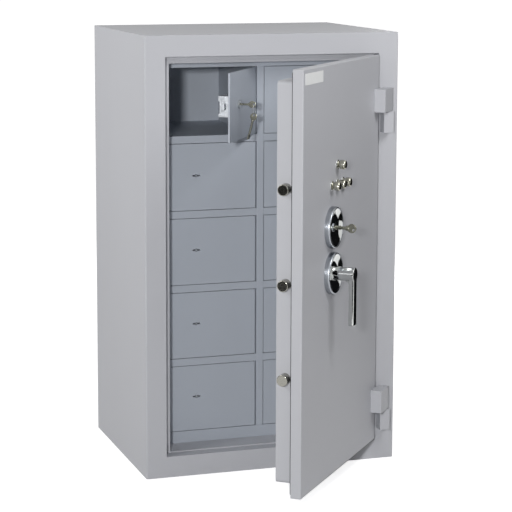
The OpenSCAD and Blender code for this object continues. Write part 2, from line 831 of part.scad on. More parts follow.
// Half the section of a dished ring, from its bore out to its rim. The rim is rolled:
// it has a small round of rim_w, and the dish falls from it to a flat floor
module dished_ring(r, h, floor_h, bore_r) {
    rim_w = 5;
    floor_r = r * 0.42;
    foot_w = 6;
    foot_h = 1.5;
    polygon([[bore_r, 0], [r, 0], [r, h - 0.6 * rim_w], [r - 0.3 * rim_w, h - 0.16 * rim_w],
        [r - 0.7 * rim_w, h], [r - rim_w, h - 0.2 * rim_w],
        [floor_r + foot_w, floor_h + foot_h], [floor_r, floor_h], [bore_r, floor_h]]);
}

module handle_rosette() {
    color(CHROME) on_main_door() turned_y(-handle_x, handle_z, slab_y)
        dished_ring(rosette_r, rosette_h, dish_floor_h, hub_r + 1);
}

module handle() {
    y_end = slab_y - hub_reach;
    crown_h = 4;
    crown_w = 2.5;
    // The lever's face lies a little behind the hub's crown
    lever_y = y_end + crown_h / 2;
    lever_corner_r = 4;
    color(CHROME) on_main_door() difference() {
        union() {
            rod_y(-handle_x, handle_z, y_end + crown_h, slab_y - hub_lift, hub_r);
            turned_y(-handle_x, handle_z, y_end + crown_h)
                polygon([[0, 0], [hub_r, 0], [hub_r - crown_w, crown_h - 1], [0, crown_h]]);
            rounded_plate(-handle_x - lever_w / 2, -handle_x + lever_w / 2, handle_z - lever_l,
                handle_z + hub_r - crown_h, lever_y, lever_y + lever_t, lever_corner_r);
        }
        rod_y(-handle_x, handle_z, y_end + handle_bore_start, slab_y, spindle_r + fit);
    }
}

// The shaft of the handle, with a crank whose pin drives the bolt bar
module handle_spindle() {
    tip_x = -handle_x - crank_r * sin(crank_angle);
    tip_z = handle_z + crank_r * cos(crank_angle);
    shaft_y = slab_y - hub_reach + handle_bore_start + 1;
    color(ZINC) on_main_door() union() {
        rod_y(-handle_x, handle_z, shaft_y, crank_y + overlap, spindle_r);
        translate([-handle_x, crank_y + crank_t, handle_z]) rotate([90, 0, 0]) linear_extrude(crank_t) {
            circle(crank_boss_r);
            rotate(crank_angle) translate([-crank_half_w, 0]) square([2 * crank_half_w, crank_r]);
            rotate(crank_angle) translate([0, crank_r]) circle(crank_half_w);
        }
        rod_y(tip_x, tip_z, crank_y + crank_t - overlap, arm_y + arm_t + 1, crank_pin_r);
    }
}

module lock_escutcheon() {
    color(CHROME) on_main_door() turned_y(-handle_x, lock_z, slab_y)
        dished_ring(escutcheon_r, escutcheon_h, dish_floor_h, key_shank_r + 3);
}

module main_lock_case() {
    x0 = -handle_x - lock_case_w / 2;
    z0 = lock_z - lock_case_h / 2;
    y1 = slab_back_y + lock_case_d;
    slot_half = lock_bolt_w / 2 + flat_gap;
    color(ZINC) on_main_door() difference() {
        span([x0, slab_back_y, z0], [x0 + lock_case_w, y1, z0 + lock_case_h]);
        rod_y(-handle_x, lock_z, slab_back_y - cut, y1 - key_wall, key_shank_r + fit);
        span([-handle_x - slot_half, lock_bolt_y0 - flat_gap, lock_bolt_z - 1],
            [-handle_x + slot_half, lock_bolt_y1 + flat_gap, z0 + lock_case_h + cut]);
    }
}

module main_lock_bolt() {
    color(ZINC) on_main_door() span([-handle_x - lock_bolt_w / 2, lock_bolt_y0, lock_bolt_z],
        [-handle_x + lock_bolt_w / 2, lock_bolt_y1, lock_z + lock_case_h / 2]);
}

module main_key() {
    y0 = slab_y - key_reach;
    shank_y = y0 + 2 * bow_r - 4;
    collar_y = shank_y + 2;
    color(CHROME) on_main_door() difference() {
        union() {
            rod_y(-handle_x, lock_z, shank_y, slab_back_y + lock_case_d - 2 * key_wall, key_shank_r);
            rod_y(-handle_x, lock_z, collar_y, collar_y + collar_w, key_shank_r + 2);
            translate([-handle_x - bow_t / 2, y0 + bow_r, lock_z]) rotate([0, 90, 0])
                cylinder(h = bow_t, r = bow_r);
        }
        translate([-handle_x - bow_t, y0 + bow_hole_r + 5, lock_z]) rotate([0, 90, 0])
            cylinder(h = 2 * bow_t, r = bow_hole_r);
    }
}

module combination_lock() {
    half_w = knob_pitch + dial_case_margin;
    y1 = slab_back_y + dial_case_d;
    color(ZINC) on_main_door() difference() {
        rounded_plate(-knob_x - half_w, -knob_x + half_w, knob_row_z - dial_case_margin,
            knob_row_z + knob_rise + dial_case_margin, slab_back_y, y1, 4);
        for (p = knob_places)
            rod_y(-knob_x + p[0], knob_row_z + p[1], slab_back_y - cut, slab_back_y + dial_shaft_in + 2,
                knob_shaft_r + fit);
    }
}

module knob_flanges() {
    color(CHROME) on_main_door() for (p = knob_places)
        turned_y(-knob_x + p[0], knob_row_z + p[1], slab_y) difference() {
            polygon([[0, 0], [knob_r + 1, 0], [knob_r + 1, flange_t - 1], [knob_r, flange_t], [0, flange_t]]);
            translate([0, -cut]) square([knob_shaft_r + 1, flange_t + 2 * cut]);
        }
}

// A turned knob on its shaft: foot, short waist and barrel
module knob(place) {
    x = -knob_x + place[0];
    z = knob_row_z + place[1];
    foot = flange_t + flat_gap;
    foot_t = 2;
    waist_end = foot + 5;
    barrel_start = waist_end + 2;
    edge = 1.5;
    waist_r = knob_r / 2;
    color(CHROME) on_main_door() union() {
        turned_y(x, z, slab_y) polygon([[0, foot], [knob_r - foot_t, foot], [knob_r - foot_t, foot + foot_t],
            [waist_r + 0.6, foot + 2 * foot_t], [waist_r, waist_end], [knob_r, barrel_start],
            [knob_r, knob_reach - edge], [knob_r - edge, knob_reach],
            [0, knob_reach]]);
        rod_y(x, z, slab_y - foot - overlap, slab_back_y + dial_shaft_in, knob_shaft_r);
    }
}

module bolt_bar() {
    pin_slot_x = -handle_x - crank_r * sin(crank_angle);
    slot_half = crank_pin_r + crank_slack;
    slot_low = handle_z + crank_r * cos(crank_angle) - slot_half;
    slot_high = handle_z + crank_r + slot_half;
    lock_notch = lock_bolt_w / 2 + notch_gap;
    color(ZINC) on_main_door() difference() {
        union() {
            span([bar_x, bar_y, bolt_zs[0] - bar_end], [bar_x + bar_t, bar_y + bar_w, bolt_zs[2] + bar_end]);
            span([bar_x + bar_t / 2, arm_y, slot_low - arm_rim],
                [pin_slot_x + slot_half + arm_rim, arm_y + arm_t, slot_high + arm_rim]);
            span([bar_x + bar_t / 2, arm_y, lock_arm_bottom],
                [lock_arm_end, arm_y + arm_t, lock_arm_bottom + arm_h]);
        }
        for (z = bolt_zs)
            rod_x(bolt_y, z, bar_x - cut, bolt_tip_x + bolt_l + bolt_throw + notch_gap, bolt_r + fit);
        span([pin_slot_x - slot_half, arm_y - cut, slot_low],
            [pin_slot_x + slot_half, arm_y + arm_t + cut, slot_high]);
        span([-handle_x - lock_notch, arm_y - cut, lock_arm_bottom - cut],
            [-handle_x + lock_notch, arm_y + arm_t + cut, lock_arm_bottom + lock_bolt_throw]);
    }
}

module locking_bolts() {
    color(CHROME) on_main_door() for (z = bolt_zs) {
        rod_x(bolt_y, z, bolt_tip_x + bolt_chamfer, bolt_tip_x + bolt_l, bolt_r);
        translate([bolt_tip_x, bolt_y, z]) rotate([0, 90, 0])
            cylinder(h = bolt_chamfer, r1 = bolt_r - bolt_chamfer, r2 = bolt_r);
    }
}

outer_casing();
barrier_fill();
inner_liner();
door_frame();
frame_hinge_blocks();
hinge_pins();
locker_panels();
locker_shelves();
locker_rails();
locker_stiles();
locker_hinge_pins();
door_plate();
door_barrier();
bolt_case();
case_screws();
door_seal();
door_hinge_blocks();
label_plate();
handle_rosette();
handle();
handle_spindle();
lock_escutcheon();
main_lock_case();
main_lock_bolt();
main_key();
combination_lock();
knob_flanges();
knob(knob_places[0]);  // knob_top
knob(knob_places[1]);  // knob_left
knob(knob_places[2]);  // knob_middle
knob(knob_places[3]);  // knob_right
bolt_bar();
locking_bolts();
locker_1_hinge_pins();
locker_door_left_1();
locker_lock_left_1();
locker_latch_left_1();
locker_key_nose();
locker_key();
key_ring();
spare_key();
locker_door(0, 1);  // locker_door_left_2
locker_door(0, 2);  // locker_door_left_3
locker_door(0, 3);  // locker_door_left_4
locker_door(0, 4);  // locker_door_left_5
locker_door(1, 0);  // locker_door_right_1
locker_door(1, 1);  // locker_door_right_2
locker_door(1, 2);  // locker_door_right_3
locker_door(1, 3);  // locker_door_right_4
locker_door(1, 4);  // locker_door_right_5
locker_lock(0, 1);  // locker_lock_left_2
locker_lock(0, 2);  // locker_lock_left_3
locker_lock(0, 3);  // locker_lock_left_4
locker_lock(0, 4);  // locker_lock_left_5
locker_lock(1, 0);  // locker_lock_right_1
locker_lock(1, 1);  // locker_lock_right_2
locker_lock(1, 2);  // locker_lock_right_3
locker_lock(1, 3);  // locker_lock_right_4
locker_lock(1, 4);  // locker_lock_right_5
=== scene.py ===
"""A steel safe with ten lockers, dressed for its studio picture.

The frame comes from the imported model. Each sub-assembly below is a class that holds its sizes in
millimetres. SheetWork dresses the nodes that are carried over, and the others build the pieces
that take the place of plainer ones.
"""
from __future__ import annotations

import json
import logging
import math
from dataclasses import dataclass, field
from enum import Enum
from typing import Iterable, Sequence

import bmesh
import bpy
from mathutils import Matrix, Vector


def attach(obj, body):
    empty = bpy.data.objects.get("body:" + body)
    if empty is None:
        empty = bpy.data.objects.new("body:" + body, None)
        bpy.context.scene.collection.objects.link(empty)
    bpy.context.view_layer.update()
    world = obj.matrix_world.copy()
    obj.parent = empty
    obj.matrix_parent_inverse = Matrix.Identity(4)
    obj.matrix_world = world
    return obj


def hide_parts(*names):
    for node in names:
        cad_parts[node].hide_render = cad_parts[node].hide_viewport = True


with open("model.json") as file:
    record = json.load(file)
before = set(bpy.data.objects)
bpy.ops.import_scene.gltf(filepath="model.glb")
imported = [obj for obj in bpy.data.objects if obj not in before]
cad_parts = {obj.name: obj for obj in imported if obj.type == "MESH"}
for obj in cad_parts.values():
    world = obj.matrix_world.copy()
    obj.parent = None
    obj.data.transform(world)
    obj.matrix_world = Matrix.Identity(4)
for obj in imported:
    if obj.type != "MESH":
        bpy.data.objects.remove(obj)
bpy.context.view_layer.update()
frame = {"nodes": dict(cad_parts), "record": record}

LOG = logging.getLogger("safe")
MM = 0.001
# Points of a section or an outline, in order
Profile = Sequence[tuple[float, float]]
Spot = tuple[float, float, float]
Colour = tuple[float, float, float, float]
Tree = bpy.types.NodeTree
Node = bpy.types.Node
Socket = bpy.types.NodeSocket
Vert = bmesh.types.BMVert
Face = bmesh.types.BMFace


# ---------- small tools ----------


def linear(hex_colour: str, factor: float = 1.0) -> Colour:
    """Turns an sRGB hex colour into Blender's linear one.

    Args:
        hex_colour: A colour such as "#b9bac0".
        factor: What its light is multiplied by.

    Returns:
        Red, green, blue and an alpha of 1.
    """
    parts = [int(hex_colour[i:i + 2], 16) / 255 for i in (1, 3, 5)]
    red, green, blue = (
        factor * (c / 12.92 if c <= 0.04045 else ((c + 0.055) / 1.055) ** 2.4) for c in parts)
    return red, green, blue, 1.0


def per_metre(size_mm: float) -> float:
    """Returns the texture scale at which one feature is size_mm wide."""
    return 1.0 / (size_mm * MM)


def circle(steps: int) -> list[float]:
    """Returns the angles of so many even steps round a circle."""
    return [2 * math.pi * step / steps for step in range(steps)]


def moved(points: Profile, across: float, along: float) -> list[tuple[float, float]]:
    """Returns the points of a profile, each moved by across and along."""
    return [(u + across, v + along) for u, v in points]


def put(
    tree: Tree,
    kind: str,
    settings: dict[str, object] | None = None,
    inputs: dict[str | int, object] | None = None,
) -> Node:
    """Adds a node with its settings and links.

    Args:
        tree: The node tree that gets the node.
        kind: Blender's name for the kind of node.
        settings: Properties of the node and their values.
        inputs: Sockets by name or number, each with a value or with the output that feeds it.

    Returns:
        The new node.
    """
    node = tree.nodes.new(kind)
    for key, value in (settings or {}).items():
        setattr(node, key, value)
    for key, value in (inputs or {}).items():
        if isinstance(value, bpy.types.NodeSocket):
            tree.links.new(value, node.inputs[key])
        else:
            node.inputs[key].default_value = value
    return node


def empty_tree(owner: bpy.types.Material | bpy.types.World) -> Tree:
    """Returns the node tree of a material or world, emptied."""
    owner.use_nodes = True
    owner.node_tree.nodes.clear()
    return owner.node_tree


def seen_rays(tree: Tree) -> Socket:
    """Returns 1 for rays that show a surface, straight or in a mirror or glass, and 0 for all others."""
    path = put(tree, "ShaderNodeLightPath").outputs
    seen = path["Is Camera Ray"]
    for kind in ("Is Glossy Ray", "Is Transmission Ray"):
        seen = put(tree, "ShaderNodeMath", {"operation": "MAXIMUM"}, {0: seen, 1: path[kind]}).outputs[0]
    return seen


def mesh_data(name: str, shape: bmesh.types.BMesh, materials: Sequence[bpy.types.Material]) -> bpy.types.Mesh:
    """Turns a finished shape into mesh data with its materials, and frees the shape."""
    data = bpy.data.meshes.new(name)
    shape.to_mesh(data)
    shape.free()
    for material in materials:
        data.materials.append(material)
    return data


def add_object(name: str, data: bpy.types.ID) -> bpy.types.Object:
    """Makes an object and links it to the scene."""
    made = bpy.data.objects.new(name, data)
    bpy.context.scene.collection.objects.link(made)
    return made


def modify(node: bpy.types.Object, name: str, kind: str, **settings: object) -> None:
    """Adds a modifier with its settings to a piece."""
    made = node.modifiers.new(name, kind)
    for key, value in settings.items():
        setattr(made, key, value)


# ---------- finishes ----------


@dataclass(frozen=True)
class Finish:
    """What every finish has: name, colour, roughness and how strongly its pattern moves them."""

    name: str
    colour: str
    roughness: float
    metallic: float = 0.0
    # How far the pattern moves the roughness either way
    spread: float = 0.05
    # What the pattern multiplies the colour's light by at its two ends
    tone: tuple[float, float] = (0.98, 1.02)
    # Depth of the relief, and how much of it the shading takes
    depth_mm: float = 0.03
    bump: float = 1.0

    def material(self) -> bpy.types.Material:
        """Returns this finish as a Blender material, made once."""
        material = bpy.data.materials.get(self.name)
        if material is None:
            material = bpy.data.materials.new(self.name)
            tree = empty_tree(material)
            place = put(tree, "ShaderNodeTexCoord").outputs["Object"]
            shader = put(tree, "ShaderNodeBsdfPrincipled", inputs={
                "Base Color": linear(self.colour), "Roughness": self.roughness, "Metallic": self.metallic})
            put(tree, "ShaderNodeOutputMaterial", inputs={"Surface": shader.outputs["BSDF"]})
            self.detail(Look(self, tree, shader, place))
        return material

    def detail(self, look: Look) -> None:
        """Draws the surface's own pattern on its material."""
        raise NotImplementedError


@dataclass(frozen=True)
class Look:
    """A finish's material under construction, and what a pattern can do to it."""

    finish: Finish
    tree: Tree
    shader: Node
    # Position on the piece, in metres
    place: Socket

    def stretched(self, scale: Spot, turn: Spot = (0.0, 0.0, 0.0)) -> Socket:
        """Returns the place turned and scaled, so that a pattern on it runs one way."""
        return put(self.tree, "ShaderNodeMapping", inputs={
            "Vector": self.place, "Rotation": turn, "Scale": scale}).outputs[0]

    def noise(self, size_mm: float, detail: float = 2.0, place: Socket | None = None) -> Socket:
        """Returns a noise with features size_mm wide, on the piece's own place or another one."""
        return put(self.tree, "ShaderNodeTexNoise", inputs={
            "Vector": self.place if place is None else place,
            "Scale": per_metre(size_mm), "Detail": detail}).outputs[0]

    def cells(self, size_mm: float) -> Node:
        """Returns a pattern of cells size_mm wide."""
        return put(self.tree, "ShaderNodeTexVoronoi", inputs={
            "Vector": self.place, "Scale": per_metre(size_mm)})

    def tint(self, amount: Socket) -> None:
        """Lets amount move the colour."""
        low, high = self.finish.tone
        mix = put(self.tree, "ShaderNodeMix", {"data_type": "RGBA"}, {
            0: amount, 6: linear(self.finish.colour, low), 7: linear(self.finish.colour, high)})
        self.tree.links.new(mix.outputs[2], self.shader.inputs["Base Color"])

    def gloss(self, amount: Socket) -> None:
        """Lets amount move the roughness."""
        middle, spread = self.finish.roughness, self.finish.spread
        span = put(self.tree, "ShaderNodeMapRange", inputs={
            "Value": amount, "To Min": middle - spread, "To Max": middle + spread})
        self.tree.links.new(span.outputs[0], self.shader.inputs["Roughness"])

    def relief(self, height: Socket) -> None:
        """Lets height raise the surface."""
        bump = put(self.tree, "ShaderNodeBump", inputs={
            "Strength": self.finish.bump, "Distance": self.finish.depth_mm * MM, "Height": height})
        self.tree.links.new(bump.outputs["Normal"], self.shader.inputs["Normal"])


@dataclass(frozen=True)
class PowderCoat(Finish):
    """Polyester powder, sprayed on sheet steel and baked: an even satin with a fine orange peel."""

    depth_mm: float = 0.035
    # The real peel is about 1.5 mm wide, too fine to show, so it is drawn at 4 mm
    peel_mm: float = 4.0
    # Thicker and thinner coats change the tone a little over a hand's width
    mottle_mm: float = 220.0

    def detail(self, look: Look) -> None:
        """Draws the drift of the tone, the orange peel and its gloss."""
        look.tint(look.noise(self.mottle_mm, 3.0))
        peel = look.noise(self.peel_mm)
        look.gloss(peel)
        look.relief(peel)


@dataclass(frozen=True)
class Plating(Finish):
    """Bright plating on steel or brass, polished: a clear mirror with faint wiping marks."""

    metallic: float = 1.0
    spread: float = 0.03
    tone: tuple[float, float] = (0.94, 1.04)
    # Wiping marks are long and thin, about 25 mm by 2 mm, and run slantwise
    wipe_mm: float = 25.0
    wipe_stretch: float = 12.0
    wipe_turn: Spot = (0.4, 0.2, 0.5)

    def detail(self, look: Look) -> None:
        """Draws the wiping marks in gloss and tone."""
        slant = look.stretched((1.0, self.wipe_stretch, self.wipe_stretch), self.wipe_turn)
        wipe = look.noise(self.wipe_mm, 3.0, slant)
        look.gloss(wipe)
        look.tint(wipe)


@dataclass(frozen=True)
class TurnedMetal(Finish):
    """Metal turned on a lathe and left satin: fine rings round the piece's own axis."""

    metallic: float = 1.0
    spread: float = 0.06
    tone: tuple[float, float] = (0.92, 1.06)
    depth_mm: float = 0.012
    bump: float = 0.6
    # Tool marks are about 0.15 mm apart, too fine to show, so they are drawn at 1 mm
    ring_mm: float = 1.0
    # Which axes of the piece lie across its turning axis, here x and z
    along: Spot = (1.0, 0.0, 1.0)

    def detail(self, look: Look) -> None:
        """Draws the rings, and the same rings as bands along an outer wall."""
        tree = look.tree
        across = put(tree, "ShaderNodeVectorMath", {"operation": "MULTIPLY"}, {0: look.place, 1: self.along})
        radius = put(tree, "ShaderNodeVectorMath", {"operation": "LENGTH"}, {0: across.outputs[0]})
        depth = put(tree, "ShaderNodeSeparateXYZ", inputs={0: look.place})
        sweep = put(tree, "ShaderNodeMath", {"operation": "ADD"}, {
            0: radius.outputs["Value"], 1: depth.outputs["Y"]})
        rings = put(tree, "ShaderNodeTexNoise", {"noise_dimensions": "1D"}, {
            "W": sweep.outputs[0], "Scale": per_metre(self.ring_mm), "Detail": 2.0}).outputs[0]
        look.gloss(rings)
        look.relief(rings)
        look.tint(rings)


@dataclass(frozen=True)
class ZincPlate(Finish):
    """Zinc, plated and passivated: a pale blue-grey that mottles in small cells."""

    metallic: float = 1.0
    spread: float = 0.07
    tone: tuple[float, float] = (0.84, 1.1)
    bump: float = 0.5
    # Cells of about 3 mm, with a softer cloud of 20 mm over them
    cell_mm: float = 3.0
    cloud_mm: float = 20.0

    def detail(self, look: Look) -> None:
        """Draws the cells in the gloss and the cloud in tone and relief."""
        cells = look.cells(self.cell_mm).outputs["Color"]
        look.gloss(put(look.tree, "ShaderNodeSeparateColor", inputs={0: cells}).outputs[0])
        cloud = look.noise(self.cloud_mm, 4.0)
        look.tint(cloud)
        look.relief(cloud)


@dataclass(frozen=True)
class SealRubber(Finish):
    """Black EPDM rubber, extruded: matt, with a fine grain and a little bloom."""

    tone: tuple[float, float] = (0.85, 1.25)
    depth_mm: float = 0.05
    bloom_mm: float = 15.0
    grain_mm: float = 0.8

    def detail(self, look: Look) -> None:
        """Draws the bloom in the tone and the grain in the relief."""
        look.tint(look.noise(self.bloom_mm, 3.0))
        look.relief(look.noise(self.grain_mm))


@dataclass(frozen=True)
class LabelFilm(Finish):
    """White polypropylene film, die cut: smooth, a little glossy, not quite flat."""

    spread: float = 0.04
    tone: tuple[float, float] = (0.97, 1.02)
    depth_mm: float = 0.15
    bump: float = 0.5
    wave_mm: float = 30.0

    def detail(self, look: Look) -> None:
        """Draws the film's slow waves in relief, gloss and tone."""
        wave = look.noise(self.wave_mm)
        look.relief(wave)
        look.gloss(wave)
        look.tint(wave)


@dataclass(frozen=True)
class CastConcrete(Finish):
    """Barrier concrete, cast: grey, with pores and darker aggregate."""

    spread: float = 0.08
    # From the middle of a stone to its rim
    tone: tuple[float, float] = (1.15, 0.75)
    depth_mm: float = 0.6
    stone_mm: float = 9.0
    pore_mm: float = 3.0

    def detail(self, look: Look) -> None:
        """Draws the aggregate in the tone and the pores in relief and gloss."""
        look.tint(look.cells(self.stone_mm).outputs["Distance"])
        pores = look.noise(self.pore_mm, 5.0)
        look.relief(pores)
        look.gloss(pores)


@dataclass(frozen=True)
class RolledPlate(Finish):
    """Hard steel plate, hot rolled: dark mill scale with streaks along the rolling."""

    metallic: float = 0.8
    spread: float = 0.1
    tone: tuple[float, float] = (0.7, 1.2)
    depth_mm: float = 0.04
    streak_mm: float = 60.0
    streak_stretch: float = 14.0

    def detail(self, look: Look) -> None:
        """Draws the streaks in tone, gloss and relief."""
        drawn = look.stretched((self.streak_stretch, self.streak_stretch, 1.0))
        streaks = look.noise(self.streak_mm, 4.0, drawn)
        look.tint(streaks)
        look.gloss(streaks)
        look.relief(streaks)


class Finishes(Enum):
    """The finishes of this safe, each for its real material and process."""

    # Light grey powder coat of the cabinet: a soft satin that keeps its tone from every side
    CASING = PowderCoat("powder_coat_casing", "#bcbdc2", 0.52)
    # The same coat on the main door and its bolt case, a touch smoother
    DOOR = PowderCoat("powder_coat_door", "#bcbdc2", 0.50)
    # Bluer grey of the lockers, sprayed thinner, so its peel is finer
    LOCKER = PowderCoat("powder_coat_locker", "#afb5be", 0.52, peel_mm=3.5, depth_mm=0.025)
    # Polished chrome of bowls, lever, flanges and split ring: a clear mirror
    CHROME = Plating("polished_chrome_plate", "#c8cac9", 0.07)
    # Nickel on the turned knobs: bright, but warmer and softer than the chrome
    KNOB = Plating("bright_nickel_knobs", "#adac9f", 0.15, wipe_mm=10.0)
    # Chrome over a turned, satin wall: a broad soft highlight
    SATIN = TurnedMetal("satin_turned_chrome", "#a2a6ac", 0.27)
    # Nickel on ground steel, for bolts and pins: bright on the round. Its warm colour is set darker than real
    # nickel, a painted shade that makes the ends dark
    NICKEL = TurnedMetal("nickel_ground_steel", "#92918a", 0.17, along=(0.0, 1.0, 1.0), ring_mm=1.4)
    # Nickel silver of the keys, stamped and tumbled: olive grey, worn soft
    KEY = Plating("nickel_silver_key", "#85857a", 0.28, wipe_mm=8.0, wipe_stretch=4.0, spread=0.08)
    # Zinc on the hidden mechanism, the screws and the lock cases: pale, with small cells
    ZINC = ZincPlate("zinc_plate_passivated", "#c3c7cc", 0.36)
    # Rubber round the bolt case: a dark matt line
    SEAL = SealRubber("epdm_rubber_extruded", "#3c3e41", 0.62)
    # The plain label: the whitest spot of the door
    LABEL = LabelFilm("polypropylene_label_film", "#f8f9f9", 0.25)
    # Fill of the walls and hard plate in the door, both hidden
    CONCRETE = CastConcrete("barrier_concrete_cast", "#8c8b87", 0.85)
    PLATE = RolledPlate("manganese_plate_rolled", "#6d7176", 0.5)


# The finish that each material slot of the record takes on carried-over pieces
SLOT_FINISH: dict[str, Finishes] = {
    "casing_paint": Finishes.CASING,
    "door_paint": Finishes.DOOR,
    "locker_paint": Finishes.LOCKER,
    "fill": Finishes.CONCRETE,
    "barrier_plate": Finishes.PLATE,
    "zinc": Finishes.ZINC,
    "chrome": Finishes.CHROME,
    "nickel": Finishes.NICKEL,
    "seal": Finishes.SEAL,
    "label": Finishes.LABEL,
}


# ---------- shapes ----------

# Points round the bow of a key and round the hole in it
BOW_STEPS = 48


@dataclass
class Shape:
    """A mesh under construction, in millimetres round the piece's own origin.

    In a piece's own place -Y points out of the door that carries it, +X to its hinge and +Z up.
    """

    mesh: bmesh.types.BMesh = field(default_factory=bmesh.new)

    def corner(self, axes: str, u: float, v: float, depth: float) -> Vert:
        """Adds the point at u and v on two named axes and at depth on the third."""
        spot = {axes[0]: u, axes[1]: v}
        return self.mesh.verts.new([spot.get(axis, depth) for axis in "xyz"])

    def band(self, low: Sequence[Vert], high: Sequence[Vert], slot: int = 0) -> list[Face]:
        """Closes the band between two rings of points, where a ring may be a single point.

        Args:
            low: The points of one ring, in order.
            high: The points of the other.
            slot: Material slot of the band.

        Returns:
            The new faces.
        """
        steps = max(len(low), len(high))
        faces = []
        for step in range(steps):
            after = (step + 1) % steps
            corners = dict.fromkeys((
                low[step % len(low)], low[after % len(low)], high[after % len(high)], high[step % len(high)]))
            if len(corners) > 2:
                face = self.mesh.faces.new(list(corners))
                face.material_index = slot
                faces.append(face)
        return faces

    def lathe(
        self, profile: Profile, at: tuple[float, float] = (0.0, 0.0), steps: int = 64,
        slots: Sequence[int] = (), flats: dict[int, int] | None = None,
    ) -> Shape:
        """Turns a profile round an axis along -Y.

        Args:
            profile: Points (radius, height out of the door) in order along the section.
            at: Where the axis stands, as x and z.
            steps: Faces round the axis.
            slots: Material slot of each band between two points. Bands past its end take slot 0.
            flats: Points of the profile that follow a polygon of so many sides, such as a hex socket.

        Returns:
            This shape, so that calls can follow each other.
        """
        rings: list[list[Vert]] = []
        for index, (radius, height) in enumerate(profile):
            if radius <= 1e-6:
                rings.append([self.mesh.verts.new((at[0], -height, at[1]))])
                continue
            sides = (flats or {}).get(index, 0)
            ring = []
            for angle in circle(steps):
                reach = radius
                if sides:
                    part = 2 * math.pi / sides
                    reach = radius / math.cos((angle % part) - part / 2)
                ring.append(self.mesh.verts.new(
                    (at[0] + reach * math.cos(angle), -height, at[1] + reach * math.sin(angle))))
            rings.append(ring)
        for index, (low, high) in enumerate(zip(rings, rings[1:])):
            self.band(low, high, slots[index] if index < len(slots) else 0)
        return self

    def prism(
        self, outline: Profile, axes: str, low: float, high: float, edge: float = 0.0, rounds: int = 2
    ) -> Shape:
        """Extrudes a flat outline along the axis that it leaves free.

        Args:
            outline: Points in the plane of the two axes, in order round it.
            axes: The two axes of the outline, such as "xz".
            low: Where the solid starts along the third axis.
            high: Where it ends.
            edge: Width of the round on its sharp edges.
            rounds: Faces across that round.

        Returns:
            This shape.
        """
        start, end = ([self.corner(axes, u, v, depth) for u, v in outline] for depth in (low, high))
        faces = [self.mesh.faces.new(start), self.mesh.faces.new(list(reversed(end)))]
        self.soften(faces + self.band(end, start), edge, rounds)
        return self

    def pierced(
        self, outline: Profile, hole: tuple[float, float], hole_r: float, axes: str,
        thickness: float, edge: float,
    ) -> Shape:
        """Extrudes an outline with one round hole, such as the bow of a key, both ways from its plane.

        Args:
            outline: Points in the plane of the two axes, seen whole from the hole's centre.
            hole: Centre of the hole in that plane.
            hole_r: Radius of the hole.
            axes: The two axes of the outline.
            thickness: Size along the third axis.
            edge: Width of the round on its sharp edges.

        Returns:
            This shape.
        """
        centre = Vector(hole)
        loops: list[list[Vert]] = []
        for depth in (-thickness / 2, thickness / 2):
            for outer in (True, False):
                loop = []
                for angle in circle(BOW_STEPS):
                    way = Vector((math.cos(angle), math.sin(angle)))
                    point = centre + way * (reach_of(outline, centre, way) if outer else hole_r)
                    loop.append(self.corner(axes, point.x, point.y, depth))
                loops.append(loop)
        # Front, wall of the hole, back and outer wall
        faces = []
        for one, other in ((0, 1), (1, 3), (3, 2), (2, 0)):
            faces += self.band(loops[one], loops[other])
        self.soften(faces, edge, 2)
        return self

    def box(self, low: Spot, high: Spot, edge: float = 0.4) -> Shape:
        """Adds a box with softened edges between two corners."""
        outline = [(low[0], low[2]), (high[0], low[2]), (high[0], high[2]), (low[0], high[2])]
        return self.prism(outline, "xz", low[1], high[1], edge)

    def tube(self, path: Sequence[Vector], radius: float, steps: int = 10) -> Shape:
        """Sweeps a round wire along a path of points, with flat ends."""
        rings = []
        for i, point in enumerate(path):
            way = (path[min(i + 1, len(path) - 1)] - path[max(i - 1, 0)]).normalized()
            side = way.cross(Vector((0, 1, 0))).normalized()
            up = side.cross(way)
            rings.append([
                self.mesh.verts.new(point + radius * (math.cos(a) * side + math.sin(a) * up))
                for a in circle(steps)])
        for low, high in zip(rings, rings[1:]):
            self.band(low, high)
        self.mesh.faces.new(list(reversed(rings[0])))
        self.mesh.faces.new(rings[-1])
        return self

    def soften(self, faces: Iterable[Face], edge: float, rounds: int, sharp_degrees: float = 35.0) -> None:
        """Rounds the edges of some new faces where they turn more than sharp_degrees."""
        faces = list(faces)
        bmesh.ops.recalc_face_normals(self.mesh, faces=faces)
        if edge <= 0:
            return
        limit = math.radians(sharp_degrees)
        sharp = {e for f in faces for e in f.edges if len(e.link_faces) == 2 and e.calc_face_angle(0.0) > limit}
        bmesh.ops.bevel(self.mesh, geom=list(sharp), offset=edge, segments=rounds, affect="EDGES", profile=0.5)

    def piece(
        self, name: str, place: Matrix, finishes: Sequence[Finishes], sharp_degrees: float = 38.0
    ) -> bpy.types.Object:
        """Makes the Blender object of this shape.

        Args:
            name: Name of the piece.
            place: Where its origin stands in the row frame, in metres.
            finishes: One finish for each material slot.
            sharp_degrees: Edges that turn more than this stay sharp.

        Returns:
            The object, linked to the scene.
        """
        bmesh.ops.recalc_face_normals(self.mesh, faces=self.mesh.faces)
        bmesh.ops.scale(self.mesh, vec=(MM, MM, MM), verts=self.mesh.verts)
        for face in self.mesh.faces:
            face.smooth = True
        for edge in self.mesh.edges:
            edge.smooth = edge.calc_face_angle(0.0) < math.radians(sharp_degrees)
        made = add_object(name, mesh_data(name, self.mesh, [finish.value.material() for finish in finishes]))
        made.matrix_world = place
        # Keeps flat faces flat to the light where a small round meets them
        modify(made, "normals", "WEIGHTED_NORMAL", keep_sharp=True)
        return made


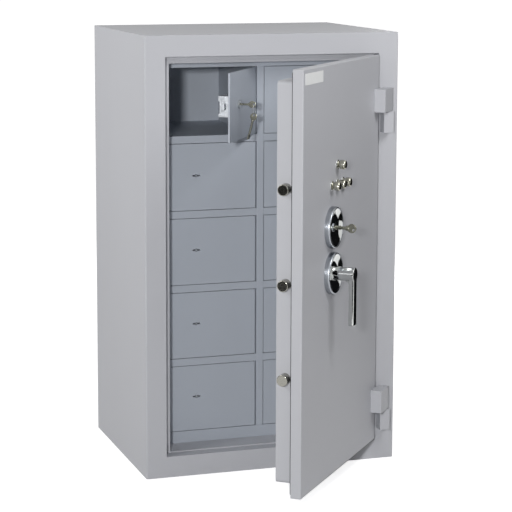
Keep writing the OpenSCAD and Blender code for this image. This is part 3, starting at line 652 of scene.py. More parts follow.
def reach_of(outline: Profile, centre: Vector, way: Vector) -> float:
    """Returns how far an outline is from a point inside it.

    Args:
        outline: Points in order round the outline.
        centre: The point inside.
        way: Direction of the look, of length 1.

    Returns:
        The distance to the outline along way.
    """
    best = 0.0
    for i, start in enumerate(outline):
        a = Vector(start) - centre
        side = Vector(outline[(i + 1) % len(outline)]) - centre - a
        cross = way.x * side.y - way.y * side.x
        if abs(cross) < 1e-9:
            continue
        share = (a.x * way.y - a.y * way.x) / cross
        reach = (a.x * side.y - a.y * side.x) / cross
        if -1e-6 <= share <= 1 + 1e-6 and reach > best:
            best = reach
    return best


@dataclass(frozen=True)
class Leaf:
    """A door leaf that stands open, turned about its hinge from its closed place."""

    hinge: tuple[float, float]
    open_degrees: float

    def place(self, x: float, y: float, z: float) -> Matrix:
        """Returns the place of a piece whose origin is at x, y and z on the closed leaf, in millimetres."""
        pin = Vector((*self.hinge, 0.0)) * MM
        turn = Matrix.Rotation(math.radians(self.open_degrees), 4, "Z")
        shut = Matrix.Translation(Vector((x, y, z)) * MM)
        return Matrix.Translation(pin) @ turn @ Matrix.Translation(-pin) @ shut


MAIN_LEAF = Leaf((323.0, -295.0), 50.0)
LOCKER_LEAF = Leaf((-16.5, -160.5), 56.0)
SHUT = Leaf((0.0, 0.0), 0.0)


# ---------- sub-assemblies ----------


@dataclass
class SubAssembly:
    """What every sub-assembly can do: settle its new pieces, and keep their names."""

    made: list[str] = field(default_factory=list)

    def settle(self, piece: bpy.types.Object, body: str, slot: str, node: str) -> None:
        """Lets a new piece ride on its body and stand for its node, and reports it.

        Args:
            piece: The new piece, in place.
            body: The body that it moves with.
            slot: Not used.
            node: The node that it replaces.
        """
        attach(piece, body)
        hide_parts(node)
        self.made.append(piece.name)
        LOG.info("built %s on %s, for %s", piece.name, body, node)


@dataclass
class SheetWork(SubAssembly):
    """The carried-over nodes: sheet steel, blocks, pins and hidden parts, with softened edges."""

    # Rounds asked for on machined edges, folded sheet and small parts. Blender keeps each one
    # below the shortest edge of its mesh.
    machined_edge: float = 0.8
    folded_edge: float = 2.4
    small_edge: float = 0.4
    folded_nodes: tuple[str, ...] = ("outer_casing", "door_plate", "bolt_case")
    small_nodes: tuple[str, ...] = ("label_plate", "locker_key_nose", "locker_latch_left_1", "hinge_pins")
    # Faces that turn less than flat_degrees are joined, edges that turn more than sharp_degrees are rounded
    flat_degrees: float = 0.4
    sharp_degrees: float = 40.0
    # Bend of the main door's outer sheet, a soft line round its face
    fold_node: str = "door_plate"
    fold_radius: float = 2.8
    # How near the outline of the face, and the face itself, a point of the bend lies
    fold_near: float = 3.2
    fold_depth: float = 0.1

    def soften(self, node: bpy.types.Object) -> None:
        """Gives a node's corners the small rounds that real edges have."""
        width = self.machined_edge
        if node.name in self.folded_nodes:
            width = self.folded_edge
        elif node.name in self.small_nodes:
            width = self.small_edge
        modify(node, "weld", "WELD", merge_threshold=1e-6)
        modify(node, "flat", "DECIMATE", decimate_type="DISSOLVE", angle_limit=math.radians(self.flat_degrees))
        if node.name == self.fold_node:
            self.fold(node)
        modify(node, "edges", "BEVEL", limit_method="ANGLE", angle_limit=math.radians(self.sharp_degrees),
               width=width * MM, segments=2)
        modify(node, "normals", "WEIGHTED_NORMAL", keep_sharp=False)

    def fold(self, node: bpy.types.Object) -> None:
        """Rounds the outline of the main door's face, where the sheet is folded back."""
        inward = MAIN_LEAF.place(0.0, 0.0, 0.0).inverted()
        local = [inward @ vertex.co for vertex in node.data.vertices]
        front = min(point.y for point in local)
        low_x, high_x = min(point.x for point in local), max(point.x for point in local)
        low_z, high_z = min(point.z for point in local), max(point.z for point in local)
        corners = [
            index for index, point in enumerate(local)
            if point.y - front < self.fold_depth * MM
            and min(point.x - low_x, high_x - point.x, point.z - low_z, high_z - point.z) < self.fold_near * MM]
        group = node.vertex_groups.new(name="folded_corners")
        group.add(corners, 1.0, "REPLACE")
        modify(node, "fold", "BEVEL", limit_method="VGROUP", vertex_group=group.name,
               width=self.fold_radius * MM, segments=4, use_clamp_overlap=False)
        LOG.info("folded %d corners of %s", len(corners), node.name)

    def build(self) -> None:
        """Dresses every node by its material slot."""
        slots = {entry["node"]: entry["material_slot"] for entry in frame["record"]["subparts"]}
        for name, node in frame["nodes"].items():
            material = SLOT_FINISH[slots[name]].value.material()
            node.data.materials.clear()
            node.data.materials.append(material)
            self.soften(node)
            LOG.info("dressed %s in %s", name, material.name)


@dataclass(frozen=True)
class DishedRing:
    """A turned ring with a satin wall, a rolled rim and a polished bowl."""

    foot_r: float
    height: float
    floor_h: float
    bore_r: float
    foot_h: float = 1.0
    # How far in from the foot's edge, and how far under the top, the points of the rim lie
    rim: Profile = ((0.5, 4.5), (1.2, 2.0), (2.3, 0.5), (3.8, 0.0), (5.2, 0.4), (6.2, 1.4))
    # Where the bowl's floor starts, as a share of the foot's radius, and the steps down to it
    floor_share: float = 0.42
    bowl_steps: int = 12

    def shape(self) -> Shape:
        """Returns the ring, from the bore out, over the rim and down the bowl: slot 0 satin, 1 polished."""
        wall = [(self.bore_r, 0.0), (self.foot_r, 0.0), (self.foot_r, self.foot_h)]
        wall += [(self.foot_r - inset, self.height - drop) for inset, drop in self.rim]
        floor_r = self.floor_share * self.foot_r
        brim_r, brim_h = wall[-1]
        bowl = []
        for step in range(1, self.bowl_steps + 1):
            share = step / self.bowl_steps
            bowl.append((brim_r + (floor_r - brim_r) * share,
                         self.floor_h + (brim_h - self.floor_h) * (1 - math.sin(math.pi / 2 * share))))
        section = wall + bowl + [(self.bore_r, self.floor_h), (self.bore_r, 0.0)]
        slots = [0] * (len(wall) - 1) + [1] * (len(bowl) + 2)
        return Shape().lathe(section, steps=96, slots=slots)


@dataclass
class LeverSet(SubAssembly):
    """The bolt work's lever handle on its dished rosette."""

    x: float = -84.0
    y: float = -278.0
    z: float = 603.0
    rosette_r: float = 55.0
    rosette_h: float = 15.0
    floor_h: float = 5.5
    hub_r: float = 18.0
    hub_room: float = 1.0
    hub_lift: float = 1.0
    hub_chamfer: float = 0.8
    reach: float = 66.0
    lever_w: float = 24.0
    lever_t: float = 14.0
    lever_l: float = 133.5
    tip_r: float = 2.5
    # The curve under the hub where it runs into the lever, narrower than both
    fillet_r: float = 9.0
    fillet_inset: float = 1.5
    fillet_edge: float = 1.0
    edge: float = 1.6
    # How deep hub, lever and curve reach into each other
    hub_sink: float = 2.0
    lever_sink: float = 1.0
    curve_sink: float = 5.0

    def build(self) -> None:
        """Builds rosette and lever."""
        place = MAIN_LEAF.place(self.x, self.y, self.z)
        ring = DishedRing(self.rosette_r, self.rosette_h, self.floor_h, self.hub_r + self.hub_room).shape()
        self.settle(ring.piece("rosette_dished", place, (Finishes.SATIN, Finishes.CHROME)),
                    "main_door", "chrome", "handle_rosette")
        self.settle(self.lever(place), "handle", "chrome", "handle")

    def lever(self, place: Matrix) -> bpy.types.Object:
        """Makes the hub, the lever that hangs from its end and the curve between them."""
        back = self.reach - self.lever_t
        half, r, tip_r, fillet_r = self.lever_w / 2, self.hub_r, self.tip_r, self.fillet_r
        # The lever's front: round the hub's end from one side of the neck to the other, then the tip
        neck = math.asin(half / r)
        head_steps = 40
        head = [-math.pi + neck + (2 * math.pi - 2 * neck) * i / head_steps for i in range(head_steps + 1)]
        tip = moved([(half, tip_r), (half - tip_r * 0.3, tip_r * 0.3), (half - tip_r, 0.0)], 0.0, -self.lever_l)
        front = [(r * math.sin(a), r * math.cos(a)) for a in head] + tip + [(-x, z) for x, z in reversed(tip)]
        shape = Shape().prism(front, "xz", -self.reach, -back, self.edge, 3)
        foot, chamfer, end = self.hub_lift, self.hub_chamfer, back + self.hub_sink
        shape.lathe([(0, foot), (r - chamfer, foot), (r, foot + chamfer), (r, end), (0, end)], steps=72)
        low = -r + self.curve_sink
        arc = [math.pi / 2 * i / 8 for i in range(9)]
        curve = [(-back - self.lever_sink, low), (-back - self.lever_sink, -r - fillet_r)]
        curve += [
            (-back + fillet_r - fillet_r * math.cos(a), -r - fillet_r + fillet_r * math.sin(a)) for a in arc]
        curve.append((-back + fillet_r, low))
        side = half - self.fillet_inset
        shape.prism(curve, "yz", -side, side, self.fillet_edge)
        return shape.piece("lever_handle", place, (Finishes.CHROME,))


@dataclass
class KeyLock(SubAssembly):
    """The main lock's dished ring with the key in it."""

    x: float = -84.0
    y: float = -278.0
    z: float = 722.0
    ring_r: float = 54.5
    ring_h: float = 15.0
    floor_h: float = 5.5
    shank_r: float = 4.5
    shank_room: float = 3.0
    # The boss round the keyhole, beyond the shank's radius and the bowl's floor
    boss: Profile = ((6.0, -0.5), (6.0, 1.6), (5.4, 2.2), (1.0, 2.2), (0.6, 1.8), (0.6, -0.5))
    key_in: float = 48.0
    # The key's end, one of its collars and the shoulder under its bow, beyond the shank's radius
    end: Profile = ((-0.6, 0.0), (0.0, 0.8))
    collar: Profile = ((1.3, 0.4), (1.3, 2.2), (-0.5, 2.8), (-0.5, 4.8))
    collars: tuple[float, ...] = (12.0, 17.0, 22.0)
    shoulder: Profile = ((0.0, -8.0), (2.0, -7.4), (2.0, -2.8), (0.0, -2.2), (-0.8, 2.0))
    neck_h: float = 4.0
    bow_r: float = 12.0
    bow_t: float = 4.0
    bow_edge: float = 0.7
    # The hole in the bow, from the bow's centre
    hole: tuple[float, float] = (-4.5, -4.0)
    hole_r: float = 3.2
    reach: float = 67.0

    def build(self) -> None:
        """Builds ring and key."""
        place = MAIN_LEAF.place(self.x, self.y, self.z)
        ring = DishedRing(self.ring_r, self.ring_h, self.floor_h, self.shank_r + self.shank_room).shape()
        ring.lathe(moved(self.boss, self.shank_r, self.floor_h), steps=48)
        self.settle(ring.piece("escutcheon_dished", place, (Finishes.SATIN, Finishes.CHROME)),
                    "main_door", "chrome", "lock_escutcheon")
        self.settle(self.key(place), "main_key", "chrome", "main_key")

    def key(self, place: Matrix) -> bpy.types.Object:
        """Makes the key with the collars of its shank and the hole in its bow."""
        r = self.shank_r
        neck = self.reach - 2 * self.bow_r + self.neck_h
        section = [(0.0, -self.key_in), *moved(self.end, r, -self.key_in), (r, self.collars[0])]
        for start in self.collars:
            section += moved(self.collar, r, start)
        section += [*moved(self.shoulder, r, neck), (0.0, neck + 3.0)]
        shape = Shape().lathe(section, steps=32)
        centre = -(self.reach - self.bow_r)
        bow = [(centre + self.bow_r * math.cos(a), self.bow_r * math.sin(a)) for a in circle(BOW_STEPS)]
        hole = (centre + self.hole[0], self.hole[1])
        shape.pierced(bow, hole, self.hole_r, "yz", self.bow_t, self.bow_edge)
        return shape.piece("main_key_with_bow", place, (Finishes.KEY,))


@dataclass
class Knobs(SubAssembly):
    """The four turned knobs and their flanges."""

    x: float = -43.5
    y: float = -278.0
    z: float = 829.5
    pitch: float = 43.0
    rise: float = 50.0
    r: float = 12.0
    reach: float = 24.5
    flange_t: float = 3.0
    flange_room: float = 1.0
    flange_bore: float = 4.0
    # The flange's outer edge, from its radius and its top
    flange_rim: Profile = ((0.0, -1.4), (-0.5, -0.6), (-1.6, 0.0))
    foot_gap: float = 0.3
    # Foot and lower barrel, from the knob's radius and foot, with the waist between them
    foot: Profile = ((-2.6, 0.0), (-2.0, 0.5), (-2.1, 1.5), (-3.4, 2.6))
    waist: tuple[float, float] = (3.6, 4.6)
    waist_swell: float = 0.4
    barrel: Profile = ((-2.4, 5.5), (-0.9, 6.2), (-0.1, 7.6), (0.0, 11.0))
    # The crown, from the knob's radius and top, and the dimple in its end, from the axis and the top
    crown: Profile = ((-0.1, -4.6), (-0.6, -2.6), (-1.8, -1.0), (-3.4, -0.2), (-5.0, 0.0))
    dimple: Profile = ((3.4, -0.1), (2.6, -0.7), (0.0, -0.9))
    # Edges of a knob that turn less than this are shaded smooth
    smooth_degrees: float = 60.0

    def build(self) -> None:
        """Builds the flanges as one piece, and each knob on its own body."""
        places = {"knob_top": (0.0, self.rise), "knob_left": (-self.pitch, 0.0), "knob_middle": (0.0, 0.0),
                  "knob_right": (self.pitch, 0.0)}
        rings = Shape()
        r, bore, top = self.r + self.flange_room, self.flange_bore, self.flange_t
        section = [(bore, 0.0), (r, 0.0), *moved(self.flange_rim, r, top), (bore, top), (bore, 0.0)]
        for spot in places.values():
            rings.lathe(section, spot, steps=48)
        place = MAIN_LEAF.place(self.x, self.y, self.z)
        self.settle(rings.piece("knob_flange_rings", place, (Finishes.CHROME,)),
                    "main_door", "chrome", "knob_flanges")
        for node, (dx, dz) in places.items():
            place = MAIN_LEAF.place(self.x + dx, self.y, self.z + dz)
            self.settle(self.knob(node, place), node, "chrome", node)

    def knob(self, node: str, place: Matrix) -> bpy.types.Object:
        """Makes one knob: foot, short waist and a crowned barrel with a small dimple in its end."""
        r, foot = self.r, self.flange_t + self.foot_gap
        section = [
            (0.0, foot), *moved(self.foot, r, foot),
            *((r / 2 + self.waist_swell, foot + height) for height in self.waist),
            *moved(self.barrel, r, foot), *moved(self.crown, r, self.reach),
            *moved(self.dimple, 0.0, self.reach)]
        shape = Shape().lathe(section, steps=56)
        return shape.piece(node + "_turned", place, (Finishes.KNOB,), self.smooth_degrees)


@dataclass
class BoltCaseTrim(SubAssembly):
    """The socket screws of the bolt case and the door's rubber seal."""

    half_w: float = 299.5
    low: float = 61.5
    high: float = 1139.5
    back_y: float = -250.0
    case_back_y: float = -201.0
    case_half_w: float = 275.5
    # The screws stand in two columns: in from the case's free edge, its hinge edge, and top and bottom
    screw_count: int = 4
    screw_free_inset: float = 60.0
    screw_hinge_inset: float = 30.0
    screw_end_inset: float = 100.0
    screw_r: float = 3.0
    screw_l: float = 61.0
    head_r: float = 5.7
    head_h: float = 3.0
    socket: float = 2.0
    seal_inset: float = 6.0
    # The seal's section, inward and away from the door: two small lips and a soft crown
    seal_section: Profile = (
        (0.0, 0.0), (0.0, 1.2), (0.8, 2.0), (1.6, 3.4), (3.0, 5.2), (5.0, 6.0), (7.0, 5.2), (8.4, 3.4),
        (9.2, 2.0), (10.0, 1.2), (10.0, 0.0))

    def build(self) -> None:
        """Builds screws and seal."""
        self.settle(self.screws(), "main_door", "zinc", "case_screws")
        self.settle(self.seal(), "main_door", "seal", "door_seal")

    def screws(self) -> bpy.types.Object:
        """Makes the button heads with their hex sockets, and their shanks."""
        low, high = self.low + self.screw_end_inset, self.high - self.screw_end_inset
        h, floor = self.head_h, -0.4 * self.head_h
        head = [(0.0, self.screw_l), (self.screw_r, self.screw_l), (self.screw_r, 0.0), (self.head_r, 0.0),
                (self.head_r, floor), (self.head_r - 1.0, -0.85 * h), (self.head_r - 2.0, -h),
                (self.socket + 0.6, -h), (self.socket, -h + 0.2), (self.socket, floor), (0.0, floor)]
        shape = Shape()
        for x in (-self.case_half_w + self.screw_free_inset, self.case_half_w - self.screw_hinge_inset):
            for i in range(self.screw_count):
                z = low + (high - low) * i / (self.screw_count - 1)
                shape.lathe(head, (x, z), steps=36, flats={8: 6, 9: 6})
        return shape.piece("case_socket_screws", MAIN_LEAF.place(0.0, self.case_back_y, 0.0), (Finishes.ZINC,))

    def seal(self) -> bpy.types.Object:
        """Makes the seal, mitred at the corners."""
        x, z0, z1 = self.half_w - self.seal_inset, self.low + self.seal_inset, self.high - self.seal_inset
        shape = Shape()
        loops = [
            [shape.mesh.verts.new((side * (x - inset), height, (z0 + inset) if end < 0 else (z1 - inset)))
             for inset, height in self.seal_section]
            for side, end in ((-1, -1), (1, -1), (1, 1), (-1, 1))]
        for loop, after in zip(loops, loops[1:] + loops[:1]):
            shape.band(after, loop)
        return shape.piece("door_seal_profile", MAIN_LEAF.place(0.0, self.back_y, 0.0), (Finishes.SEAL,))


@dataclass
class LockerLocks(SubAssembly):
    """The locks on the locker doors, each a folded case with a forend and cover screws."""

    edge_x: float = -268.5
    shift: float = 282.0
    door_y: float = -165.5
    door_t: float = 5.0
    key_zs: tuple[float, ...] = (1015.92, 809.42, 602.92, 396.42, 189.92)
    w: float = 102.0
    h: float = 55.0
    d: float = 27.0
    body_d: float = 24.0
    top_flange: float = 13.0
    low_flange: float = 9.0
    # The flanges stand out past the forend, start behind the door's wall and have wider rounds
    flange_out: float = 0.5
    flange_back: float = 1.0
    flange_edge: float = 0.8
    key_in: float = 84.0
    latch_y: float = 11.0
    latch_t: float = 8.0
    latch_h: float = 25.0
    latch_l: float = 34.0
    latch_edge: float = 0.6
    slot_room: float = 0.3
    window_y: float = 5.5
    window_h: float = 16.0
    wall: float = 3.0
    # How deep the walls of the case reach into each other
    sink: float = 0.2
    # The pack of levers: how many, how far apart, how thick, and from where to where
    levers: int = 3
    lever_pitch: float = 1.5
    lever_t: float = 0.9
    lever_edge: float = 0.2
    lever_x: tuple[float, float] = (14.0, 48.0)
    keyhole_w: float = 21.0
    keyhole_h: float = 8.0
    screw_inset: float = 9.0
    # A cover screw's radius and its depth past the flanges, with a hex socket at its last points
    screw: Profile = ((3.2, 1.0), (3.2, -0.8), (2.4, -1.5), (1.3, -1.5), (1.2, -0.6), (0.0, -0.6))
    # The post in a keyhole: its radius, from the face of the door inward
    post: Profile = ((3.0, -1.4), (2.4, -0.8), (1.4, -0.8), (1.2, -2.2), (0.0, -2.2))

    def build(self) -> None:
        """Builds the ten locks."""
        for side, name in enumerate(("left", "right")):
            for row, z in enumerate(self.key_zs):
                node = f"locker_lock_{name}_{row + 1}"
                leaf = LOCKER_LEAF if side == 0 and row == 0 else SHUT
                place = leaf.place(self.edge_x + side * self.shift, self.door_y + self.door_t, z)
                shape = self.case()
                if leaf is SHUT:
                    self.shut(shape)
                self.settle(shape.piece(node + "_case", place, (Finishes.ZINC,)),
                            f"locker_{name}_{row + 1}", "zinc", node)

    def case(self) -> Shape:
        """Returns the case: walls round the bolt's slot, a stepped cover, two flanges and screws."""
        shape = Shape()
        w, wy, sink = self.w, self.window_y, self.sink
        top, low = self.h / 2, -self.h / 2
        slot = self.latch_h / 2 + self.slot_room
        cover = self.latch_y + self.latch_t + self.slot_room
        half_key, key_r = self.keyhole_h / 2, self.keyhole_w / 2
        near, far = self.key_in - key_r, self.key_in + key_r
        # The wall against the door, open round the keyhole
        shape.box((0, 0, half_key), (w, wy, top))
        shape.box((0, 0, low), (w, wy, -half_key))
        beside = half_key + 0.3
        shape.box((0, 0, -beside), (near, wy, beside), 0.0)
        shape.box((far, 0, -beside), (w, wy, beside), 0.0)
        # Top and bottom walls with their flanges, and the strips that close the slot to the window's height
        shape.box((0, wy - sink, slot), (w, self.body_d, top - 0.5))
        shape.box((0, wy - sink, low + 0.5), (w, self.body_d, -slot))
        for z0, z1 in ((top - self.top_flange, top), (low, low + self.low_flange)):
            shape.box((-self.flange_out, wy + self.flange_back, z0), (w, self.d, z1), self.flange_edge)
        for side in (1, -1):
            z0, z1 = sorted((side * self.window_h / 2, side * (slot + sink)))
            shape.box((0, wy - sink, z0), (self.wall, self.latch_y - self.slot_room, z1))
        # The cover, the back wall and the pack of levers behind the window
        shape.box((0, cover, -slot - sink), (w, self.body_d, slot + sink))
        shape.box((w - self.wall, wy - sink, -slot), (w, cover + sink, slot))
        for i in range(self.levers):
            y = wy + 1.0 + self.lever_pitch * i
            shape.box((self.lever_x[0], y, -slot), (self.lever_x[1], y + self.lever_t, slot), self.lever_edge)
        for x in (self.screw_inset, w - self.screw_inset):
            for z in (top - self.top_flange / 2, low + self.low_flange / 2):
                shape.lathe(moved(self.screw, 0.0, -self.d), (x, z), steps=24, flats={3: 6, 4: 6})
        return shape

    def shut(self, shape: Shape) -> None:
        """Adds the drawn-back bolt and the post in the keyhole of a shut locker."""
        half = self.latch_h / 2
        shape.box((0, self.latch_y, -half), (self.latch_l, self.latch_y + self.latch_t, half), self.latch_edge)
        cover = self.latch_y + self.latch_t + self.slot_room
        post = [(self.post[0][0], -cover), *moved(self.post, 0.0, self.door_t)]
        shape.lathe(post, (self.key_in, 0.0), steps=28)


@dataclass
class LockerKeys(SubAssembly):
    """The key in the open locker's lock, its ring and the spare key that hangs from it."""

    x: float = -184.5
    door_y: float = -165.5
    z: float = 1015.92
    reach: float = 47.0
    bow_r: float = 10.0
    # The bow is a little flatter than round
    bow_share: float = 0.94
    bow_edge: float = 0.6
    key_t: float = 3.0
    shank_r: float = 3.0
    # The shoulder under the bow, from the shank's radius and the bow's edge
    shoulder: Profile = ((1.0, 1.6), (1.2, -1.2), (0.0, -2.2))
    hole_r: float = 3.0
    rim: float = 2.0
    bit_l: float = 14.0
    bit_edge: float = 0.25
    # Half the bit's width at each step along it, and the part of a step that is level
    cuts: tuple[float, ...] = (10.0, 8.2, 9.4, 7.0, 8.8, 10.0)
    level: tuple[float, float] = (0.08, 0.92)
    tip: float = 2.0
    # The split ring: two flat turns of wire, a little short of whole
    ring_r: float = 12.5
    wire_r: float = 1.0
    ring_gap: float = 0.6
    turns: float = 1.92
    turn_steps: int = 88
    turn_start: float = 1.0
    wire_swell: float = 1.05
    spare_l: float = 62.0
    # The spare key hangs off plumb, with its tip towards the door
    spare_lean: float = 14.0

    def build(self) -> None:
        """Builds both keys and the ring."""
        bow_y = self.door_y - self.reach + self.bow_r
        hole_y = bow_y - self.bow_r + self.rim + self.hole_r
        ring_z = self.z - self.hole_r + self.wire_r + self.ring_gap - self.ring_r
        drop = self.bow_r - self.rim - self.wire_r - self.ring_gap
        key = self.key(self.reach - self.bow_r + self.tip).piece(
            "locker_key_double_bit", LOCKER_LEAF.place(self.x, bow_y, self.z), (Finishes.KEY,))
        self.settle(key, "locker_key", "chrome", "locker_key")
        lean = Matrix.Rotation(math.radians(self.spare_lean), 4, "X")
        down = Matrix.Translation(Vector((0, 0, -drop * MM))) @ Matrix.Rotation(math.radians(-90), 4, "X")
        hang = LOCKER_LEAF.place(self.x, hole_y, ring_z - self.ring_r) @ lean @ down
        self.settle(self.key(self.spare_l).piece("spare_key_double_bit", hang, (Finishes.KEY,)),
                    "spare_key", "chrome", "spare_key")
        wire, r = self.wire_r / 2, self.ring_r
        path = []
        for step in range(self.turn_steps + 1):
            share = step / self.turn_steps
            angle = 2 * math.pi * self.turns * share + self.turn_start
            path.append(Vector((r * math.cos(angle), wire * (2 * share - 1), r * math.sin(angle))))
        ring = Shape().tube(path, wire * self.wire_swell).piece(
            "split_key_ring", LOCKER_LEAF.place(self.x, hole_y, ring_z), (Finishes.CHROME,))
        self.settle(ring, "key_ring", "chrome", "key_ring")

    def key(self, length: float) -> Shape:
        """Returns a double-bitted key along +Y, with its bow's centre at the origin.

        Args:
            length: From the centre of the bow to the tip.

        Returns:
            The key's shape.
        """
        r, bow_r = self.shank_r, self.bow_r
        bow = [(bow_r * math.cos(a), self.bow_share * bow_r * math.sin(a)) for a in circle(BOW_STEPS)]
        hole = (-bow_r + self.rim + self.hole_r, 0.0)
        shape = Shape().pierced(bow, hole, self.hole_r, "yz", self.key_t, self.bow_edge)
        shape.lathe([(0.0, -bow_r + 2.2), *moved(self.shoulder, r, -bow_r), (r, -length + 0.8),
                     (r - 0.8, -length), (0.0, -length)], steps=24)
        step = self.bit_l / len(self.cuts)
        start = length - self.bit_l
        side = [(half, start + step * (i + end)) for i, half in enumerate(self.cuts) for end in self.level]
        outline = side + [(-x, y) for x, y in reversed(side)]
        return shape.prism(outline, "xy", -self.key_t / 2, self.key_t / 2, self.bit_edge)


# ---------- studio ----------


@dataclass(frozen=True)
class Aimed:
    """A thing of the studio that stands at its place and is turned to its aim, both in metres."""

    name: str
    place: Spot
    aim: Spot

    def stand(self, data: bpy.types.ID, front: int) -> bpy.types.Object:
        """Makes the object, with its +Z (front 1) or its -Z (front -1) turned to the aim."""
        made = add_object(self.name, data)
        made.location = Vector(self.place)
        way = front * (Vector(self.aim) - Vector(self.place))
        made.rotation_euler = way.to_track_quat("Z", "Y").to_euler()
        return made


@dataclass(frozen=True)
class Lamp(Aimed):
    """A square softbox: its side in metres and its watts."""

    size: float
    watts: float


@dataclass(frozen=True)
class Flag(Aimed):
    """A black card that only bright metal mirrors: its width and height in metres."""

    width: float
    height: float


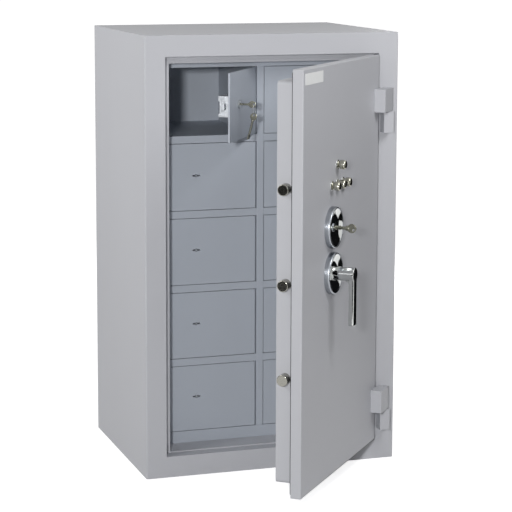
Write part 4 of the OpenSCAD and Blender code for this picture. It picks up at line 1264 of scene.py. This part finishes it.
@dataclass(frozen=True)
class Studio:
    """Camera, floor and light of the picture."""

    camera_mm: Spot = (-1603.67, -4930.29, 1470.03)
    yaw: float = -0.322412
    pitch: float = 0.148034
    roll: float = 0.003234
    lens: float = 128.89
    sensor: float = 36.0
    shift: float = -0.0996
    clip_end: float = 500.0
    lamps: tuple[Lamp, ...] = (
        # The main light: a small softbox beside the camera that reaches into the open locker
        Lamp("front_softbox", (-1.87, -4.35, 1.55), (0.0, -0.2, 0.7), 0.22, 94.0),
        # A wide one at the left and a little behind, for the cabinet's side
        Lamp("side_softbox", (-1.9, 0.4, 1.75), (-0.36, 0.0, 0.9), 0.6, 11.0),
        # One at the left in front, which throws the bolts' shadows down the bolt case
        Lamp("left_softbox", (-2.9, -1.3, 2.3), (-0.2, -0.3, 0.7), 0.5, 18.0),
        # A weak, wide one above the hinges, for the door's face and soft shadows under its fittings
        Lamp("door_softbox", (0.9, -1.45, 1.95), (0.2, -0.5, 0.9), 0.8, 13.0),
        # One behind at the right, low, for the back and the hinge side
        Lamp("back_softbox", (2.0, 2.4, 1.15), (0.1, 0.1, 0.6), 1.0, 48.0),
    )
    # Black cards that give the bright metal its dark side
    flags: tuple[Flag, ...] = (
        Flag("left_flag", (-1.95, -1.8, 0.42), (0.0, 0.0, 0.42), 1.2, 0.84),
        Flag("right_flag", (1.8, 0.2, 0.85), (0.0, -0.6, 0.85), 2.2, 1.7),
        Flag("front_flag", (0.95, -3.2, 1.0), (0.0, 0.0, 1.0), 2.2, 2.0),
        Flag("floor_flag", (1.35, -1.5, 0.004), (1.35, -1.5, 1.0), 1.9, 2.0),
    )
    flag_colour: str = "#1a1b1d"
    # What the surroundings give to painted surfaces; to look at they are white
    ambient: float = 0.12
    floor_colour: str = "#cfcfcf"
    # Light that the floor adds to its own, as it is seen. It grows to white between two distances
    # in metres, and near the cabinet it leaves room for the shadow.
    floor_lift: float = 0.76
    floor_near: float = 0.9
    floor_far: float = 4.5
    floor_radius: float = 80.0

    def camera(self) -> None:
        """Sets up the camera where the photograph was taken."""
        cos, sin = math.cos, math.sin
        forward = Vector((-sin(self.yaw) * cos(self.pitch), cos(self.yaw) * cos(self.pitch), -sin(self.pitch)))
        right = Vector((cos(self.yaw), sin(self.yaw), 0.0))
        up = right.cross(forward)
        across = cos(self.roll) * right + sin(self.roll) * up
        upward = -sin(self.roll) * right + cos(self.roll) * up
        data = bpy.data.cameras.new("camera")
        data.lens = self.lens
        data.sensor_width = self.sensor
        data.shift_y = self.shift
        data.clip_end = self.clip_end
        camera = add_object("camera", data)
        turn = Matrix((across, upward, -forward)).transposed().to_4x4()
        camera.matrix_world = Matrix.Translation(Vector(self.camera_mm) * MM) @ turn
        bpy.context.scene.camera = camera

    def world(self) -> None:
        """Makes the surroundings: white to look at and in mirrors, a plain soft light for the rest."""
        world = bpy.data.worlds.new("studio_surroundings")
        bpy.context.scene.world = world
        tree = empty_tree(world)
        strength = put(tree, "ShaderNodeMapRange", inputs={
            "Value": seen_rays(tree), "To Min": self.ambient, "To Max": 1.0})
        light = put(tree, "ShaderNodeBackground", inputs={
            "Color": (1.0, 1.0, 1.0, 1.0), "Strength": strength.outputs[0]})
        put(tree, "ShaderNodeOutputWorld", inputs={"Surface": light.outputs[0]})

    def floor(self) -> None:
        """Lays the pale floor: it reads white round the object and keeps its shadow."""
        material = bpy.data.materials.new("studio_floor_paper")
        tree = empty_tree(material)
        place = put(tree, "ShaderNodeTexCoord").outputs["Object"]
        far = put(tree, "ShaderNodeVectorMath", {"operation": "LENGTH"}, {0: place})
        white = put(tree, "ShaderNodeMapRange", inputs={
            "Value": far.outputs["Value"], "From Min": self.floor_near, "From Max": self.floor_far,
            "To Min": self.floor_lift, "To Max": 1.0})
        lift = put(tree, "ShaderNodeMath", {"operation": "MULTIPLY"}, {0: seen_rays(tree), 1: white.outputs[0]})
        paper = put(tree, "ShaderNodeBsdfDiffuse", inputs={"Color": linear(self.floor_colour)})
        glow = put(tree, "ShaderNodeEmission", inputs={"Strength": lift.outputs[0]})
        both = put(tree, "ShaderNodeAddShader", inputs={0: paper.outputs[0], 1: glow.outputs[0]})
        put(tree, "ShaderNodeOutputMaterial", inputs={"Surface": both.outputs[0]})
        shape = bmesh.new()
        bmesh.ops.create_circle(shape, cap_ends=True, radius=self.floor_radius, segments=64)
        floor = add_object("studio_floor", mesh_data("studio_floor", shape, [material]))

    def hang(self) -> None:
        """Hangs the softboxes, each turned to what it lights."""
        for lamp in self.lamps:
            data = bpy.data.lights.new(lamp.name, "AREA")
            data.shape = "SQUARE"
            data.size = lamp.size
            data.energy = lamp.watts
            # A lamp shines along its -Z
            lamp.stand(data, -1)

    def stand_flags(self) -> None:
        """Stands the black cards round the cabinet, turned to it."""
        material = bpy.data.materials.new("studio_flag_felt")
        tree = empty_tree(material)
        felt = put(tree, "ShaderNodeBsdfDiffuse", inputs={"Color": linear(self.flag_colour)})
        put(tree, "ShaderNodeOutputMaterial", inputs={"Surface": felt.outputs[0]})
        for flag in self.flags:
            shape = bmesh.new()
            across, upward = flag.width / 2, flag.height / 2
            corners = [(-across, -upward), (across, -upward), (across, upward), (-across, upward)]
            shape.faces.new([shape.verts.new((x, y, 0.0)) for x, y in corners])
            card = flag.stand(mesh_data(flag.name, shape, [material]), 1)
            for ray in ("camera", "diffuse", "transmission", "volume_scatter", "shadow"):
                setattr(card, f"visible_{ray}", False)

    def build(self) -> None:
        """Sets up the whole studio."""
        self.camera()
        self.world()
        self.floor()
        self.hang()
        self.stand_flags()
        bpy.context.scene.view_settings.view_transform = "Standard"


def main() -> None:
    """Builds the sub-assemblies in order and reports each piece."""
    logging.basicConfig(level=logging.INFO, format="%(name)s: %(message)s")
    Studio().build()
    for assembly in (SheetWork(), LeverSet(), KeyLock(), Knobs(), BoltCaseTrim(), LockerLocks(), LockerKeys()):
        assembly.build()
        LOG.info("%s: %d new pieces", type(assembly).__name__, len(assembly.made))


if __name__ == "__main__":
    main()
